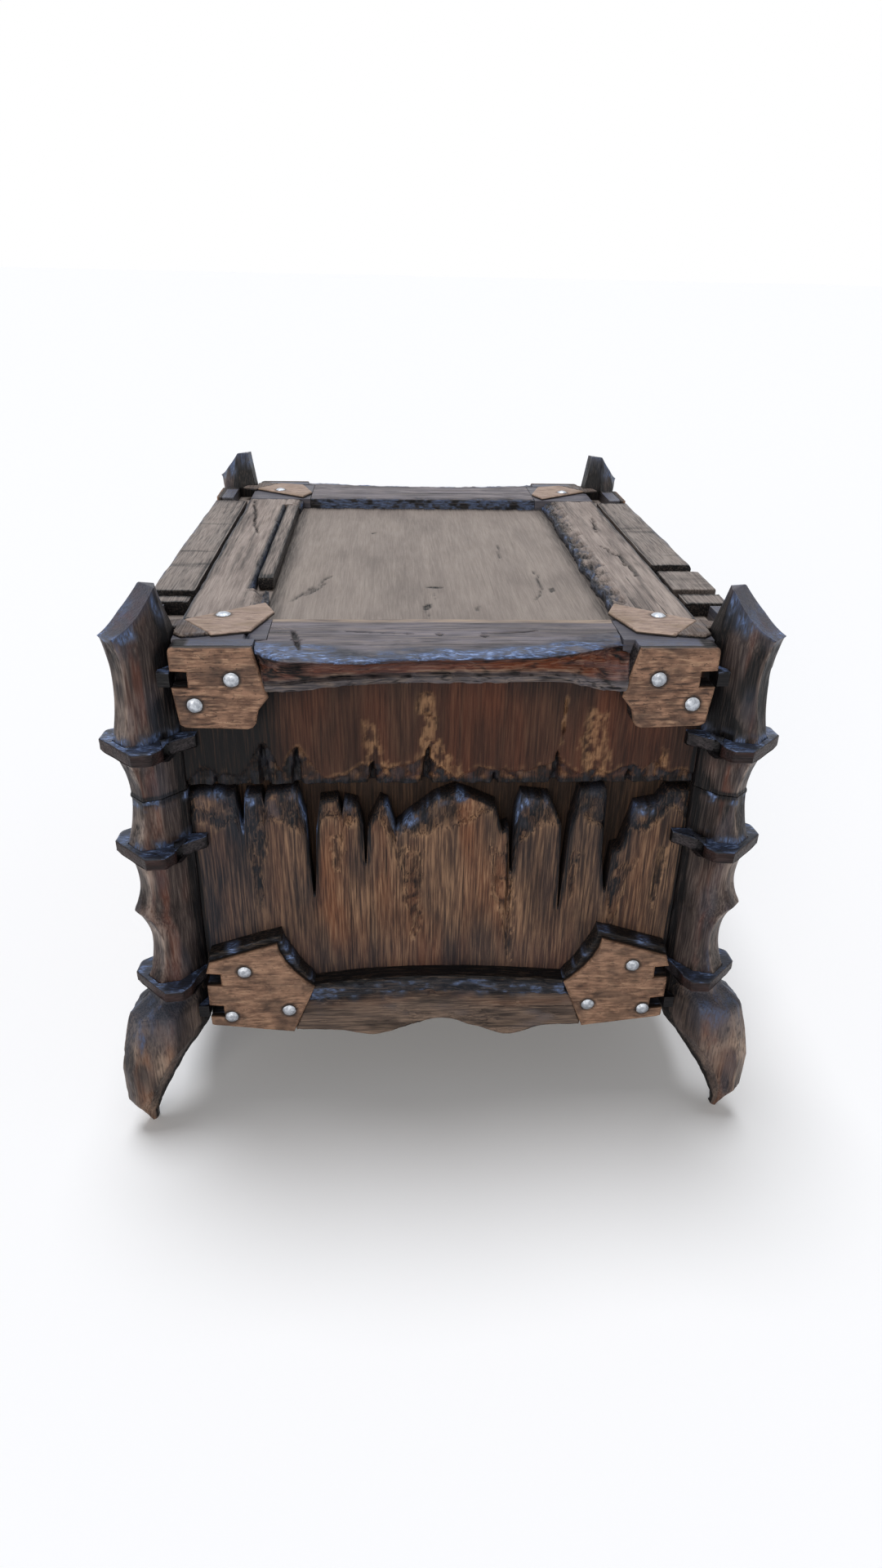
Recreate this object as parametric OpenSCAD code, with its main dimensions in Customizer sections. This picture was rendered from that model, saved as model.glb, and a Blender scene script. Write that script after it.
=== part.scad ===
// Carved wooden puzzle box: splintered panels, thorned corner posts on claw feet, riveted corner
// brackets, a lift-off lid and two sliding locks in the lid.
// Millimetres, +Z up. The origin is on the ground below the middle of the box, and the front faces -Y.

/* [Case] */
// Outside width across the side panels
case_w = 222; // [210:1:250]
// Outside depth across the front and rear panels
case_d = 282; // [260:1:320]
// Thickness of the outer panels
panel_t = 10; // [9:0.5:12]
// Thickness of the liner boards
liner_t = 6; // [4:0.5:8]
// Thickness of the floor board
floor_t = 8; // [5:0.5:12]
// Height of the underside of the case above the ground
case_z = 46; // [44:1:60]
// Height of the base panels
base_wall_h = 113; // [108:1:140]
// Height of the lid panels
lid_wall_h = 50; // [48:1:60]
// Rise of the liner lip into the lid
lip_h = 12; // [6:1:18]

/* [Lid top] */
// Thickness of the lid board
board_t = 6; // [5:0.5:8]
// Thickness of the frame layer on the lid board
frame_t = 6; // [5:0.5:9]
// Width of the sunk field in the lid
field_w = 142; // [130:1:150]
// Distance of the sunk field from the front panel plane
field_front = 23; // [20:1:30]
// Distance of the sunk field from the rear panel plane
field_rear = 41; // [36:1:50]
// Thickness of the corner plates and leaves on the lid
plate_t = 1.5; // [1:0.25:3]

/* [Rails and brackets] */
// Standing of the rails and brackets off the panel plane
rail_out = 10; // [8:0.5:12]
// Thickness of the bracket plates
bracket_t = 3; // [2:0.5:4]
// Width of a bracket along its panel
bracket_w = 35; // [32:0.5:38]
// Height of a top bracket
top_bracket_h = 32; // [30:0.5:36]
// Height of a bottom bracket
low_bracket_h = 44; // [42:0.5:48]
// Depth of the notches in the bracket edges
notch_d = 6; // [4:0.5:7]
// Height of the notches in the bracket edges
notch_h = 6.5; // [5:0.5:7]
// Height of the top beams
beam_h = 14; // [13:0.5:16]
// Height of the side rails on the lid
side_rail_h = 18; // [17:0.5:22]
// Reach of the side rails beyond the side panel plane
side_rail_out = 11; // [9:0.5:13]

/* [Posts and feet] */
// Reach of a post at its waist beyond the panel planes
post_waist = 11; // [10:0.5:12]
// Reach of a post at its collars beyond the panel planes
post_flare = 14; // [13:0.5:15]
// Reach of the thorn halfway up a base post
thorn_out = 15.5; // [14:0.5:18]
// Distance of the thorn below the middle collar
thorn_drop = 25; // [22:1:30]
// Width of the chamfer on the post corners, along each side
post_chamfer = 6; // [4:0.5:8]
// Reach of the horn tips beyond the panel planes
horn_out = 15; // [14:0.5:18]
// Rise of the horns above the lid
horn_h = 19.5; // [14:0.5:24]
// Reach of the claw knees beyond the panel planes
claw_out = 27.5; // [24:0.5:32]
// Thickness of the collars
collar_t = 6; // [5:0.5:6.5]
// Reach of the collars beyond the panel planes
collar_out = 20; // [18:0.5:23]
// Height of the middle collar's top below the parting line
mid_collar_drop = 20; // [16:1:26]
// Height of the lid collar's bottom above the parting line
lid_collar_rise = 19; // [12:0.5:20]
// Height of the low collar's bottom above the underside of the case
low_collar_rise = 21; // [18:1:26]

/* [Rivets] */
// Diameter of the rivet heads
rivet_d = 6; // [4:0.5:7]
// Height of the rivet heads
rivet_h = 1; // [0.6:0.1:1.6]
// Diameter of the rivet shanks
shank_d = 3; // [2:0.5:3.5]
// Depth of the rivet shanks below the head
shank_l = 6; // [5:0.5:8]

/* [Locks] */
// Length of the slider lath in the lid
lath_l = 146; // [120:1:150]
// Width of the slider lath
lath_w = 7; // [6:0.5:8]
// Travel of the slider lath towards the front
lath_travel = 12; // [8:0.5:14]
// Diameter of the drive pins between lath and bolt
pin_d = 4; // [3:0.5:5]
// Height of the bolt bar below the lid board
bolt_h = 6; // [5:0.5:8]
// Width of the bolt bar
bolt_w = 8; // [6:0.5:9]
// Drop of the bolt's tongue below the lid board
tongue_drop = 26; // [22:1:28]
// Height of the tongue
tongue_h = 5; // [4:0.5:6]
// Length of the side slider
side_slider_l = 29; // [24:1:30]
// Travel of the side slider each way
side_travel = 7; // [4:0.5:7.5]

/* [Fits] */
// Clearance between the liner lip and the lid
lid_gap = 0.6; // [0.4:0.1:1]
// Open joint between base and lid at the parting line
parting_gap = 0.4; // [0.3:0.1:0.8]
// Clearance round sliding pieces
slide_gap = 0.4; // [0.3:0.1:0.6]
// Extra diameter and depth of the rivet and screw holes
hole_gap = 0.1; // [0.05:0.05:0.3]

/* [Hidden] */
$fn = 32;
eps = 0.01;

// Half widths from the middle of the box to the panel planes and to the inner corners of the posts
half_w = case_w / 2;
half_d = case_d / 2;
core_x = half_w - panel_t;
core_y = half_d - panel_t;

// Heights of the main joints
parting_z = case_z + base_wall_h;
lid_z = parting_z + parting_gap;
board_z = parting_z + lid_wall_h;
frame_z = board_z + board_t;
lid_top_z = frame_z + frame_t;
low_collar_z = case_z + low_collar_rise;
mid_collar_z = parting_z - mid_collar_drop - collar_t;
lid_collar_z = parting_z + lid_collar_rise;
thorn_z = mid_collar_z - thorn_drop;
low_bracket_z = case_z - 1;
top_bracket_z = lid_top_z;

// Step of a post edge off the panel plane, and how far its flat brow lies behind its reach
post_step = 0.6;
brow_drop = 2;
brow_share = 0.4;
knee = panel_t + claw_out;
claw_brow = [13, knee - 4.5];

// Splintered top edges of the base panels: [percent of the half width, drop in mm]
front_splinters = [
    [-100, 0], [-79, 1], [-77.5, 15], [-76, 1], [-69, 5], [-55, 2], [-53, 50], [-49, 4], [-41, 8],
    [-33, 7], [-31.5, 34], [-31, 10], [-24, 5.5], [-19.5, 18], [-14.5, 10], [-8, 7], [-4, 0.5],
    [13, 2.5], [18.5, 7.5], [22.5, 21], [27.5, 40], [26.7, 1], [37.5, 2], [46, 14], [50, 60],
    [50, 0.5], [61, 3], [64, 21], [69.5, 52], [71, 32], [74, 9], [82, 8.5], [84, 4.5], [100, 2]
];
rear_splinters = [
    [-100, 1], [-82, 3], [-72, 9], [-70, 44], [-67, 6], [-52, 2], [-44, 12], [-41, 5], [-24, 3],
    [-16, 16], [-13, 58], [-12, 4], [4, 1], [20, 7], [22, 36], [25, 5], [40, 9], [44, 24], [47, 3],
    [63, 2], [68, 48], [71, 7], [85, 3], [100, 0]
];
side_splinters = [
    [-100, 1], [-88, 2], [-80, 11], [-78.5, 40], [-77, 4], [-63, 1], [-55, 13], [-52, 6], [-40, 3],
    [-34, 20], [-32, 54], [-31, 5], [-17, 2], [-9, 9], [-6, 28], [-4, 3], [9, 1], [18, 8], [20.5, 46],
    [22, 12], [30, 4], [43, 2], [50, 15], [53, 37], [55, 5], [68, 3], [77, 10], [79, 26], [81, 2], [100, 1]
];

// Waves of the rails and beams: [percent of the half length, distance in mm]
low_rail_top = [[-100, 0], [-60, 2.5], [-20, 3.5], [30, 3], [70, 1.5], [100, 0]];
low_rail_foot = [[-100, 0], [-80, -1], [-55, -4], [-25, 1], [0, 5], [30, 0], [58, -5.5], [85, -1], [100, 0]];
front_beam_wave = [
    [-100, 11], [-85, 19], [-66, 24], [-44, 20], [-22, 15], [4, 15], [30, 22], [56, 19], [84, 11], [100, 10]
];
rear_beam_wave = [
    [-100, 18], [-80, 12], [-50, 8], [-20, 7], [10, 8], [45, 9], [75, 12], [100, 19]
];
side_rail_wave = [[-100, 0], [-62, -3.5], [-30, -1], [0, -2.5], [36, 1], [70, 0], [100, 0]];

function bezier(a, b, c, n) = [
    for (i = [0:n]) let (t = i / n) (1 - t) * (1 - t) * a + 2 * t * (1 - t) * b + t * t * c
];
function reversed(v) = [for (i = [len(v) - 1:-1:0]) v[i]];
function scaled(wave, half, base, sign = 1) = [for (p = wave) [p.x / 100 * half, base + sign * p.y]];

// ---- Placing ------------------------------------------------------------------------------------

// Children are modelled on the rear right corner, from the inner corner of its post.
module on_corner(sx, sy) {
    mirror([sx < 0 ? 1 : 0, 0, 0])
        mirror([0, sy < 0 ? 1 : 0, 0])
            translate([core_x, core_y, 0])
                children();
}

module on_corners() {
    for (sx = [-1, 1], sy = [-1, 1])
        on_corner(sx, sy) children();
}

// Children are modelled on the front panel plane, at y = 0, and stand out towards -Y.
module on_front() { translate([0, -half_d, 0]) children(); }
module on_rear() { translate([0, half_d, 0]) rotate([0, 0, 180]) children(); }
module on_left() { translate([-half_w, 0, 0]) rotate([0, 0, -90]) children(); }
module on_right() { translate([half_w, 0, 0]) rotate([0, 0, 90]) children(); }

// An outline in x and z, from depth y0 to depth y1 off the panel plane.
module upright(y0, y1) {
    translate([0, -y0, 0])
        rotate([90, 0, 0])
            linear_extrude(y1 - y0)
                children();
}

module box(x, y, z) {
    translate([x[0], y[0], z[0]])
        cube([x[1] - x[0], y[1] - y[0], z[1] - z[0]]);
}

// ---- Posts, horns and feet ----------------------------------------------------------------------

// Plan of a post, symmetric about the corner's diagonal: root, heel, brow and chamfer corner.
function plan(root, heel, brow, tip) = concat(
    [[root, root], heel, brow, tip],
    [[tip.y, tip.x], [brow.y, brow.x], [heel.y, heel.x]]
);
function post_plan(out, root = 0) = let (reach = panel_t + out) plan(
    root,
    [root, panel_t + post_step],
    [brow_share * reach, reach - brow_drop],
    [reach - post_chamfer, reach]
);
function at_z(points, z) = [for (p = points) [p.x, p.y, z]];

// Reach of a concave bay between two flares.
function bay(t, ends, waist) = waist + (ends - waist) * pow(2 * t - 1, 2);

// Closed solid through rings that all have the same number of points.
module skin(rings, cap) {
    n = len(rings[0]);
    last = (len(rings) - 1) * n;
    polyhedron(
        points = [for (r = rings) for (p = r) p],
        faces = concat(
            [[for (i = [n - 1:-1:0]) i]],
            [for (k = [0:len(rings) - 2]) for (i = [0:n - 1])
                let (a = k * n + i, b = k * n + (i + 1) % n)
                each [[a, b, b + n], [a, b + n, a + n]]],
            [for (f = cap) [for (i = f) last + i]]
        )
    );
}
flat_cap = [[0, 1, 2, 3, 4, 5, 6]];
ramp_cap = [[6, 0, 1], [5, 6, 1, 2], [4, 5, 2, 3]];
bay_steps = [0:0.2:1];

// Base post: straight through both collars, with a thorn between them and a waist at the parting.
module post() {
    low_top = low_collar_z + collar_t;
    skin(concat(
        [at_z(post_plan(post_flare), low_collar_z)],
        [for (t = bay_steps) at_z(
            post_plan(bay(t, t < 0.5 ? post_flare : thorn_out, post_waist)),
            low_top + t * (thorn_z - low_top)
        )],
        [for (t = [0.25:0.25:1]) at_z(
            post_plan(bay(t, t < 0.5 ? thorn_out : post_flare, post_waist + 1.5)),
            thorn_z + t * (mid_collar_z - thorn_z)
        )],
        [at_z(post_plan(post_flare), mid_collar_z + collar_t)],
        [for (t = [0.15:0.15:0.45]) at_z(
            post_plan(bay(t, post_flare, post_waist)),
            mid_collar_z + collar_t + t * mid_collar_drop / 0.45
        )]
    ), flat_cap);
}

// Lid post: from the parting line up through the lid collar into a horn with a hollow, sloping top.
module horn() {
    shoulder_z = lid_top_z - 0.3;
    collar_top = lid_collar_z + collar_t;
    tip = panel_t + horn_out;
    skin(concat(
        [for (t = [0:0.25:1]) at_z(
            post_plan(bay(0.5 + t / 2, post_flare, post_waist)),
            lid_z + t * (lid_collar_z - lid_z)
        )],
        [for (t = [0:0.2:0.8]) at_z(
            post_plan(bay(t, t < 0.5 ? post_flare : horn_out, post_waist + 0.5)),
            collar_top + t / 0.8 * (shoulder_z - collar_top)
        )],
        [[
            for (p = plan(4.5, [3.2, panel_t + 0.2], [9, tip - 7.6], [tip - post_chamfer, tip]))
            let (away = (p.x + p.y) / 2, slope = max(0, (tip - post_chamfer / 2 - away) / 15))
            [p.x, p.y, shoulder_z + 4 + min(1, pow(slope, 1.6)) * (horn_h - 4)]
        ]]
    ), ramp_cap);
}

// Claw foot: hangs from the low collar, knees outwards and curves in to a small flat on the ground.
module foot() {
    tip = knee - 11.5;
    heel = [0, panel_t + post_step];
    neck = panel_t + post_flare + 1.5;
    skin([
        at_z(plan(tip, [tip + 0.2, tip + 2.6], [tip + 0.8, tip + 3.6], [tip + 2, tip + 4.2]), 0),
        at_z(
            plan(tip - 0.4, [tip - 0.6, tip + 3.4], [tip + 2, knee - 6.5], [knee - 8, knee - 5]),
            case_z / 8
        ),
        at_z(plan(tip - 3.5, [tip - 4.6, tip + 2.4], [tip, knee - 3], [knee - 5.5, knee - 0.5]), case_z / 3),
        at_z(plan(tip - 8.5, [tip - 9.5, tip - 1], [tip - 3, knee - 2], [knee - 6, knee]), case_z * 0.52),
        at_z(plan(tip - 15, [tip - 16, tip - 6.5], [tip - 7.5, knee - 2.5], [knee - 6, knee]), case_z * 0.72),
        at_z(plan(4, [3, panel_t + 2.6], [claw_brow.x + 1, knee - 3.5], [knee - 7, knee - 1]), case_z * 0.87),
        at_z(plan(0, heel, claw_brow, [knee - 8, knee - 2]), case_z - eps),
        at_z(plan(0, heel, claw_brow - [1, 2.5], [knee - 11.5, knee - 5]), low_collar_z - 8.5),
        at_z(plan(0, heel, [brow_share * neck, neck - 2.5], [neck - post_chamfer, neck]), low_collar_z - 4),
        at_z(post_plan(post_flare), low_collar_z)
    ], flat_cap);
}

module post_front_left() { color("#3b2a22") on_corner(-1, -1) post(); }
module post_front_right() { color("#3b2a22") on_corner(1, -1) post(); }
module post_rear_left() { color("#3b2a22") on_corner(-1, 1) post(); }
module post_rear_right() { color("#3b2a22") on_corner(1, 1) post(); }

module foot_front_left() { color("#4a3426") on_corner(-1, -1) foot(); }
module foot_front_right() { color("#4a3426") on_corner(1, -1) foot(); }
module foot_rear_left() { color("#4a3426") on_corner(-1, 1) foot(); }
module foot_rear_right() { color("#4a3426") on_corner(1, 1) foot(); }

module horn_front_left() { color("#362823") on_corner(-1, -1) horn(); }
module horn_front_right() { color("#362823") on_corner(1, -1) horn(); }
module horn_rear_left() { color("#362823") on_corner(-1, 1) horn(); }
module horn_rear_right() { color("#362823") on_corner(1, 1) horn(); }

// ---- Collars and pegs ---------------------------------------------------------------------------

// A collar wraps one post. Its two straps end on the panels, or at the brackets when strap is short.
module collar(z, strap) {
    reach = panel_t + collar_out;
    half = [
        [-strap, panel_t], [-strap, panel_t + 2.5], [3.6, panel_t + 9.6], [4.2, reach - 5],
        [7.4, reach - 0.6], [reach * 0.49, reach]
    ];
    translate([0, 0, z])
        linear_extrude(collar_t)
            difference() {
                polygon(concat(half, [for (p = reversed(half)) [p.y, p.x]], [[0, 0]]));
                polygon(post_plan(post_flare));
                square(panel_t * 2, center = true);
            }
}

// A square peg between a post and a bracket notch, cut back along the post's face, which runs from
// its heel to its brow.
module peg(z, brow) {
    slope = (brow.y - panel_t - post_step) / brow.x;
    far = 4.4;
    outer = panel_t + rail_out - 0.5;
    heel = panel_t + post_step + 0.2;
    for (turn = [0, 1])
        mirror([turn, -turn, 0])
            translate([0, 0, z + 0.3])
                linear_extrude(notch_h - 0.6)
                    polygon([
                        [-0.3, panel_t], [-0.3, outer], [far, outer],
                        [far, min(outer - 0.5, heel + slope * far)], [0, heel]
                    ]);
}

module mid_collars() { color("#2e221f") on_corners() collar(mid_collar_z, 6); }
module low_collars() { color("#2e221f") on_corners() collar(low_collar_z, 0.3); }
module lid_collars() { color("#2e221f") on_corners() collar(lid_collar_z, 6); }
module base_pegs() { color("#241b19") on_corners() peg(low_bracket_z + 5, claw_brow); }
module lid_pegs() {
    color("#241b19") on_corners() peg(top_bracket_z - 9 - notch_h, post_plan(post_flare)[2]);
}

// ---- Base panels, liner and floor ---------------------------------------------------------------

module base_panel(half, splinters) {
    upright(-panel_t, 0)
        polygon(concat(
            [[-half, case_z]],
            [for (p = splinters) [p.x / 100 * half, parting_z - p.y]],
            [[half, case_z]]
        ));
}

// A liner board stands on the floor, and its thinner lip rises into the lid.
module liner(half) {
    inside = panel_t + liner_t;
    lip_half = half - lid_gap;
    box([-half, half], [panel_t, inside], [case_z + floor_t, parting_z]);
    box([-lip_half, lip_half], [panel_t + lid_gap, inside], [parting_z, parting_z + lip_h]);
}

module base_floor() {
    color("#6b4a33") box([-core_x, core_x], [-core_y, core_y], [case_z, case_z + floor_t]);
}
module base_panel_front() { color("#5d4030") on_front() base_panel(core_x, front_splinters); }
module base_panel_rear() { color("#5d4030") on_rear() base_panel(core_x, rear_splinters); }
module base_panel_left() { color("#5d4030") on_left() base_panel(core_y, side_splinters); }
module base_panel_right() {
    color("#5d4030") on_right() base_panel(core_y, [for (p = reversed(side_splinters)) [-p.x, p.y]]);
}
module liner_front() { color("#8a6244") on_front() liner(core_x); }
module liner_rear() { color("#8a6244") on_rear() liner(core_x); }
module liner_left() { color("#8a6244") on_left() liner(core_y - liner_t); }
module liner_right() { color("#8a6244") on_right() liner(core_y - liner_t); }

// ---- Brackets and rails -------------------------------------------------------------------------

// Bracket outlines run from the corner inwards. u is the distance from the post.
function top_bracket_half() = [
    [0.6, 0], [0.6, -9], [0.6 + notch_d, -9], [0.6 + notch_d, -9 - notch_h], [0.6, -9 - notch_h],
    [1.6, 1.5 - top_bracket_h], [bracket_w - 8, -top_bracket_h], [bracket_w - 5, 3.5 - top_bracket_h],
    [bracket_w, 14 - top_bracket_h], [bracket_w - 4.5, 0]
];
function low_bracket_half() = concat(
    [
        [0.8, 0.6], [0.6, 5], [0.6 + notch_d, 5], [0.6 + notch_d, 5 + notch_h], [0.6, 5 + notch_h],
        [0.6, 22.3], [0.6 + notch_d, 22.3], [0.6 + notch_d, 22.3 + notch_h], [0.6, 22.3 + notch_h],
        [2.3, low_bracket_h - 9.7]
    ],
    bezier([bracket_w - 3.5, low_bracket_h], [bracket_w - 1, 30], [bracket_w + 11.5, 20.5], 5),
    [[bracket_w + 1.5, -4.3]]
);

// Rivet places as [u, z] on the two kinds of bracket.
top_rivets = [[22.5, -12], [8.5, 10 - top_bracket_h]];
low_rivets = [[17, low_bracket_h - 14], [9.8, 5.5], [bracket_w, 8.5]];

// Rivet of a corner plate, from the inner corner of the post
plate_rivet = [-16.5, -17];

module bracket_outline(half, outline, z, side) {
    polygon([for (p = outline) [side * (half - p.x), z + p.y]]);
}

module rivet_holes(half, places, z) {
    for (side = [-1, 1], p = places)
        translate([side * (half - p.x), -rail_out - 1, z + p.y])
            rotate([-90, 0, 0])
                cylinder(d = shank_d + hole_gap, h = shank_l + hole_gap + 1);
}

module rivets(half, places, z) {
    for (side = [-1, 1], p = places)
        translate([side * (half - p.x), -rail_out, z + p.y])
            rotate([-90, 0, 0])
                rivet();
}

// A rivet with a low domed head, its shank along +Z and the head's flat at z = 0.
module rivet() {
    head_r = rivet_d / 2;
    dome_r = (head_r * head_r + rivet_h * rivet_h) / (2 * rivet_h);
    rotate_extrude()
        polygon(concat(
            [[0, shank_l], [0, -rivet_h]],
            [for (i = [1:4]) let (x = head_r * i / 4) [x, dome_r - rivet_h - sqrt(dome_r * dome_r - x * x)]],
            [[shank_d / 2, 0], [shank_d / 2, shank_l]]
        ));
}

module brackets(half, outline, places, z) {
    difference() {
        for (side = [-1, 1])
            upright(rail_out - bracket_t, rail_out)
                bracket_outline(half, outline, z, side);
        rivet_holes(half, places, z);
    }
}

// Bottom rail: full thickness between the brackets, and a thinner backing behind them.
module bottom_rail(half) {
    inner = half - bracket_w - 12;
    bead = low_bracket_z + 20.5;
    foot = low_bracket_z - 4.3;
    difference() {
        union() {
            upright(0, rail_out - bracket_t)
                for (side = [-1, 1])
                    bracket_outline(half, low_bracket_half(), low_bracket_z, side);
            upright(0, rail_out - bracket_t)
                polygon(concat(
                    [[-inner - 10, foot]], scaled(low_rail_foot, inner, foot),
                    [[inner + 10, foot], [inner + 3, bead]],
                    reversed(scaled(low_rail_top, inner, bead)), [[-inner - 3, bead]]
                ));
            upright(rail_out - bracket_t - eps, rail_out)
                polygon(concat(
                    scaled(low_rail_foot, inner, foot), reversed(scaled(low_rail_top, inner, bead))
                ));
        }
        rivet_holes(half, low_rivets, low_bracket_z);
    }
}

module bottom_rail_front() { color("#47352b") on_front() bottom_rail(core_x); }
module bottom_rail_rear() { color("#47352b") on_rear() bottom_rail(core_x); }
module bottom_rail_left() { color("#47352b") on_left() bottom_rail(core_y); }
module bottom_rail_right() { color("#47352b") on_right() bottom_rail(core_y); }

module low_brackets(half) { color("#96704f") brackets(half, low_bracket_half(), low_rivets, low_bracket_z); }
module bottom_brackets_front() { on_front() low_brackets(core_x); }
module bottom_brackets_rear() { on_rear() low_brackets(core_x); }
module bottom_brackets_left() { on_left() low_brackets(core_y); }
module bottom_brackets_right() { on_right() low_brackets(core_y); }

module top_brackets(half) { color("#96704f") brackets(half, top_bracket_half(), top_rivets, top_bracket_z); }
module top_brackets_front() { on_front() top_brackets(core_x); }
module top_brackets_rear() { on_rear() top_brackets(core_x); }
module top_brackets_left() { on_left() top_brackets(core_y); }
module top_brackets_right() { on_right() top_brackets(core_y); }

// ---- Lid ----------------------------------------------------------------------------------------

module lid_panel(half) {
    box([-half, half], [0, panel_t], [lid_z, board_z]);
}

module lid_panel_front() { color("#4b332a") on_front() lid_panel(core_x); }
module lid_panel_rear() { color("#4b332a") on_rear() lid_panel(core_x); }
module lid_panel_left() { color("#4b332a") on_left() lid_panel(core_y); }
module lid_panel_right() { color("#4b332a") on_right() lid_panel(core_y); }

// Half widths of the sunk field and of the frame about it
field_x = field_w / 2;
frame_x = half_w - 9;
field_y = [field_front - half_d, half_d - field_rear];

// Places of the lath and its drive pins
lath_x = -field_x - slide_gap;
lath_rear = half_d - field_rear - 16;
lath_front = lath_rear - lath_l;
pin_y = [lath_front + 30, lath_rear - 20];
pin_x = lath_x - lath_w / 2;

// Places of the side slider and the rail pieces about it
slider_rear = 85 - core_y;
slider_y = [slider_rear - side_slider_l, slider_rear];
slider_gap = side_travel + 1;
ledge_z = lid_top_z - side_rail_h;
key_x = half_w + side_rail_out / 2;
key_y = slider_y[0] + side_slider_l / 2;
key_d = 4;
key_head_d = 7.6;
key_head_h = 2.6;
key_head_z = frame_z - 8;

module slot(x, y0, y1, d, z0, z1) {
    translate([x, 0, z0])
        linear_extrude(z1 - z0)
            union() {
                translate([0, y0]) circle(d = d);
                translate([0, y1]) circle(d = d);
                translate([-d / 2, y0]) square([d, y1 - y0]);
            }
}

module lid_board() {
    color("#5f5148")
        difference() {
            union() {
                box([-half_w, half_w], [-core_y, core_y], [board_z, frame_z]);
                box([-core_x, core_x], [-half_d, half_d], [board_z, frame_z]);
            }
            for (y = pin_y)
                slot(pin_x, y - lath_travel, y, pin_d + 2 * slide_gap, board_z - 1, frame_z + 1);
        }
}

module lid_frame_left() {
    color("#7d6b5f")
        difference() {
            box([-frame_x, -field_x], field_y, [frame_z, lid_top_z]);
            box(
                [lath_x - lath_w - 1.6, -field_x + 1],
                [lath_front - lath_travel - 4, lath_rear + 0.6],
                [frame_z - 1, lid_top_z + 1]
            );
            plate_rivet_holes();
        }
}

module lid_frame_right() {
    color("#7d6b5f")
        difference() {
            box([field_x, frame_x], field_y, [frame_z, lid_top_z]);
            plate_rivet_holes();
        }
}

// Top beam: a frame layer on the lid board, a front layer that bulges past the panel, and a thin
// backing behind each bracket.
module top_beam(field, wave) {
    inner = core_x - bracket_w;
    backing = rail_out - bracket_t;
    clear = panel_t + 2;
    edge = [for (p = wave) [p.x / 100 * inner, -p.y]];
    ledge = [for (p = wave) [p.x / 100 * inner, -p.y * 0.85 - 0.6]];
    difference() {
        union() {
            translate([0, 0, frame_z])
                linear_extrude(frame_t)
                    polygon(concat(
                        [[-frame_x, field], [-frame_x, clear], [-core_x, clear], [-core_x, 0], [-inner, 0]],
                        edge, [[inner, 0], [core_x, 0], [core_x, clear], [frame_x, clear], [frame_x, field]]
                    ));
            translate([0, 0, lid_top_z - beam_h])
                linear_extrude(beam_h - frame_t + eps)
                    polygon(concat([[-inner, 0]], ledge, [[inner, 0]]));
            upright(0, backing)
                for (side = [-1, 1])
                    bracket_outline(core_x, top_bracket_half(), top_bracket_z, side);
        }
        rivet_holes(core_x, top_rivets, top_bracket_z);
    }
}

module top_beam_front() { color("#50423a") on_front() top_beam(field_front, front_beam_wave); }
module top_beam_rear() {
    color("#50423a")
        difference() {
            on_rear() top_beam(field_rear, rear_beam_wave);
            plate_rivet_holes();
        }
}

// Side rail: an upright wall outside the panel with a ledge on the lid board. cuts are the gaps, as
// [y0, y1], that open its upper part.
module top_rail(cuts) {
    inner = core_y - bracket_w;
    backing = rail_out - bracket_t;
    difference() {
        union() {
            upright(0, side_rail_out)
                polygon(concat(
                    [[-inner, lid_top_z], [-inner, ledge_z]],
                    scaled(side_rail_wave, inner, ledge_z),
                    [[inner, ledge_z], [inner, lid_top_z]]
                ));
            box([-inner + 12, inner - 12], [-eps, half_w - frame_x - slide_gap], [frame_z, lid_top_z]);
            upright(0, backing)
                for (side = [-1, 1])
                    bracket_outline(core_y, top_bracket_half(), top_bracket_z, side);
        }
        rivet_holes(core_y, top_rivets, top_bracket_z);
        for (c = cuts)
            box(c, [-side_rail_out - 1, 9], [frame_z, lid_top_z + 1]);
    }
}

module top_rail_left() {
    front_gap = core_y - 51;
    color("#6b5d53") on_left() top_rail([[front_gap, front_gap + slider_gap]]);
}

module top_rail_right() {
    y0 = key_y - side_travel;
    y1 = key_y + side_travel;
    head_top = key_head_z + key_head_h + slide_gap;
    color("#6b5d53")
        difference() {
            on_right() top_rail([[slider_y[0] - slider_gap, slider_y[1] + slider_gap]]);
            slot(key_x, y0, y1, key_d + 2 * slide_gap, ledge_z - 8, frame_z + 1);
            slot(key_x, y0, y1, key_head_d + 2 * slide_gap, ledge_z - 8, head_top);
        }
}

// Corner plates and leaves lie on the lid, in corner coordinates from the inner corner of the post.
module corner_plate() {
    translate([0, 0, lid_top_z])
        linear_extrude(plate_t)
            polygon([[-2, -9], [-30.5, -30], [-35, -18.5], [-28.5, 3], [-14.5, 7.5]]);
}

module plate_rivet_holes() {
    on_corners()
        translate([plate_rivet.x, plate_rivet.y, lid_top_z + plate_t - shank_l - hole_gap])
            cylinder(d = shank_d + hole_gap, h = shank_l + hole_gap + 1);
}

module corner_plates() {
    color("#96704f")
        difference() {
            on_corners() corner_plate();
            plate_rivet_holes();
        }
}

module corner_leaves() {
    color("#5c4f49")
        on_corners()
            translate([0, 0, lid_top_z])
                linear_extrude(plate_t)
                    polygon([[-1, -10], [-13.4, 6.5], [-4, 9], [-0.6, 6], [-0.6, -0.6], [5, -0.6], [7, -6]]);
}

// ---- Rivets -------------------------------------------------------------------------------------

module base_rivets() {
    color("#b4b6ba") {
        on_front() rivets(core_x, low_rivets, low_bracket_z);
        on_rear() rivets(core_x, low_rivets, low_bracket_z);
        on_left() rivets(core_y, low_rivets, low_bracket_z);
        on_right() rivets(core_y, low_rivets, low_bracket_z);
    }
}

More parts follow.
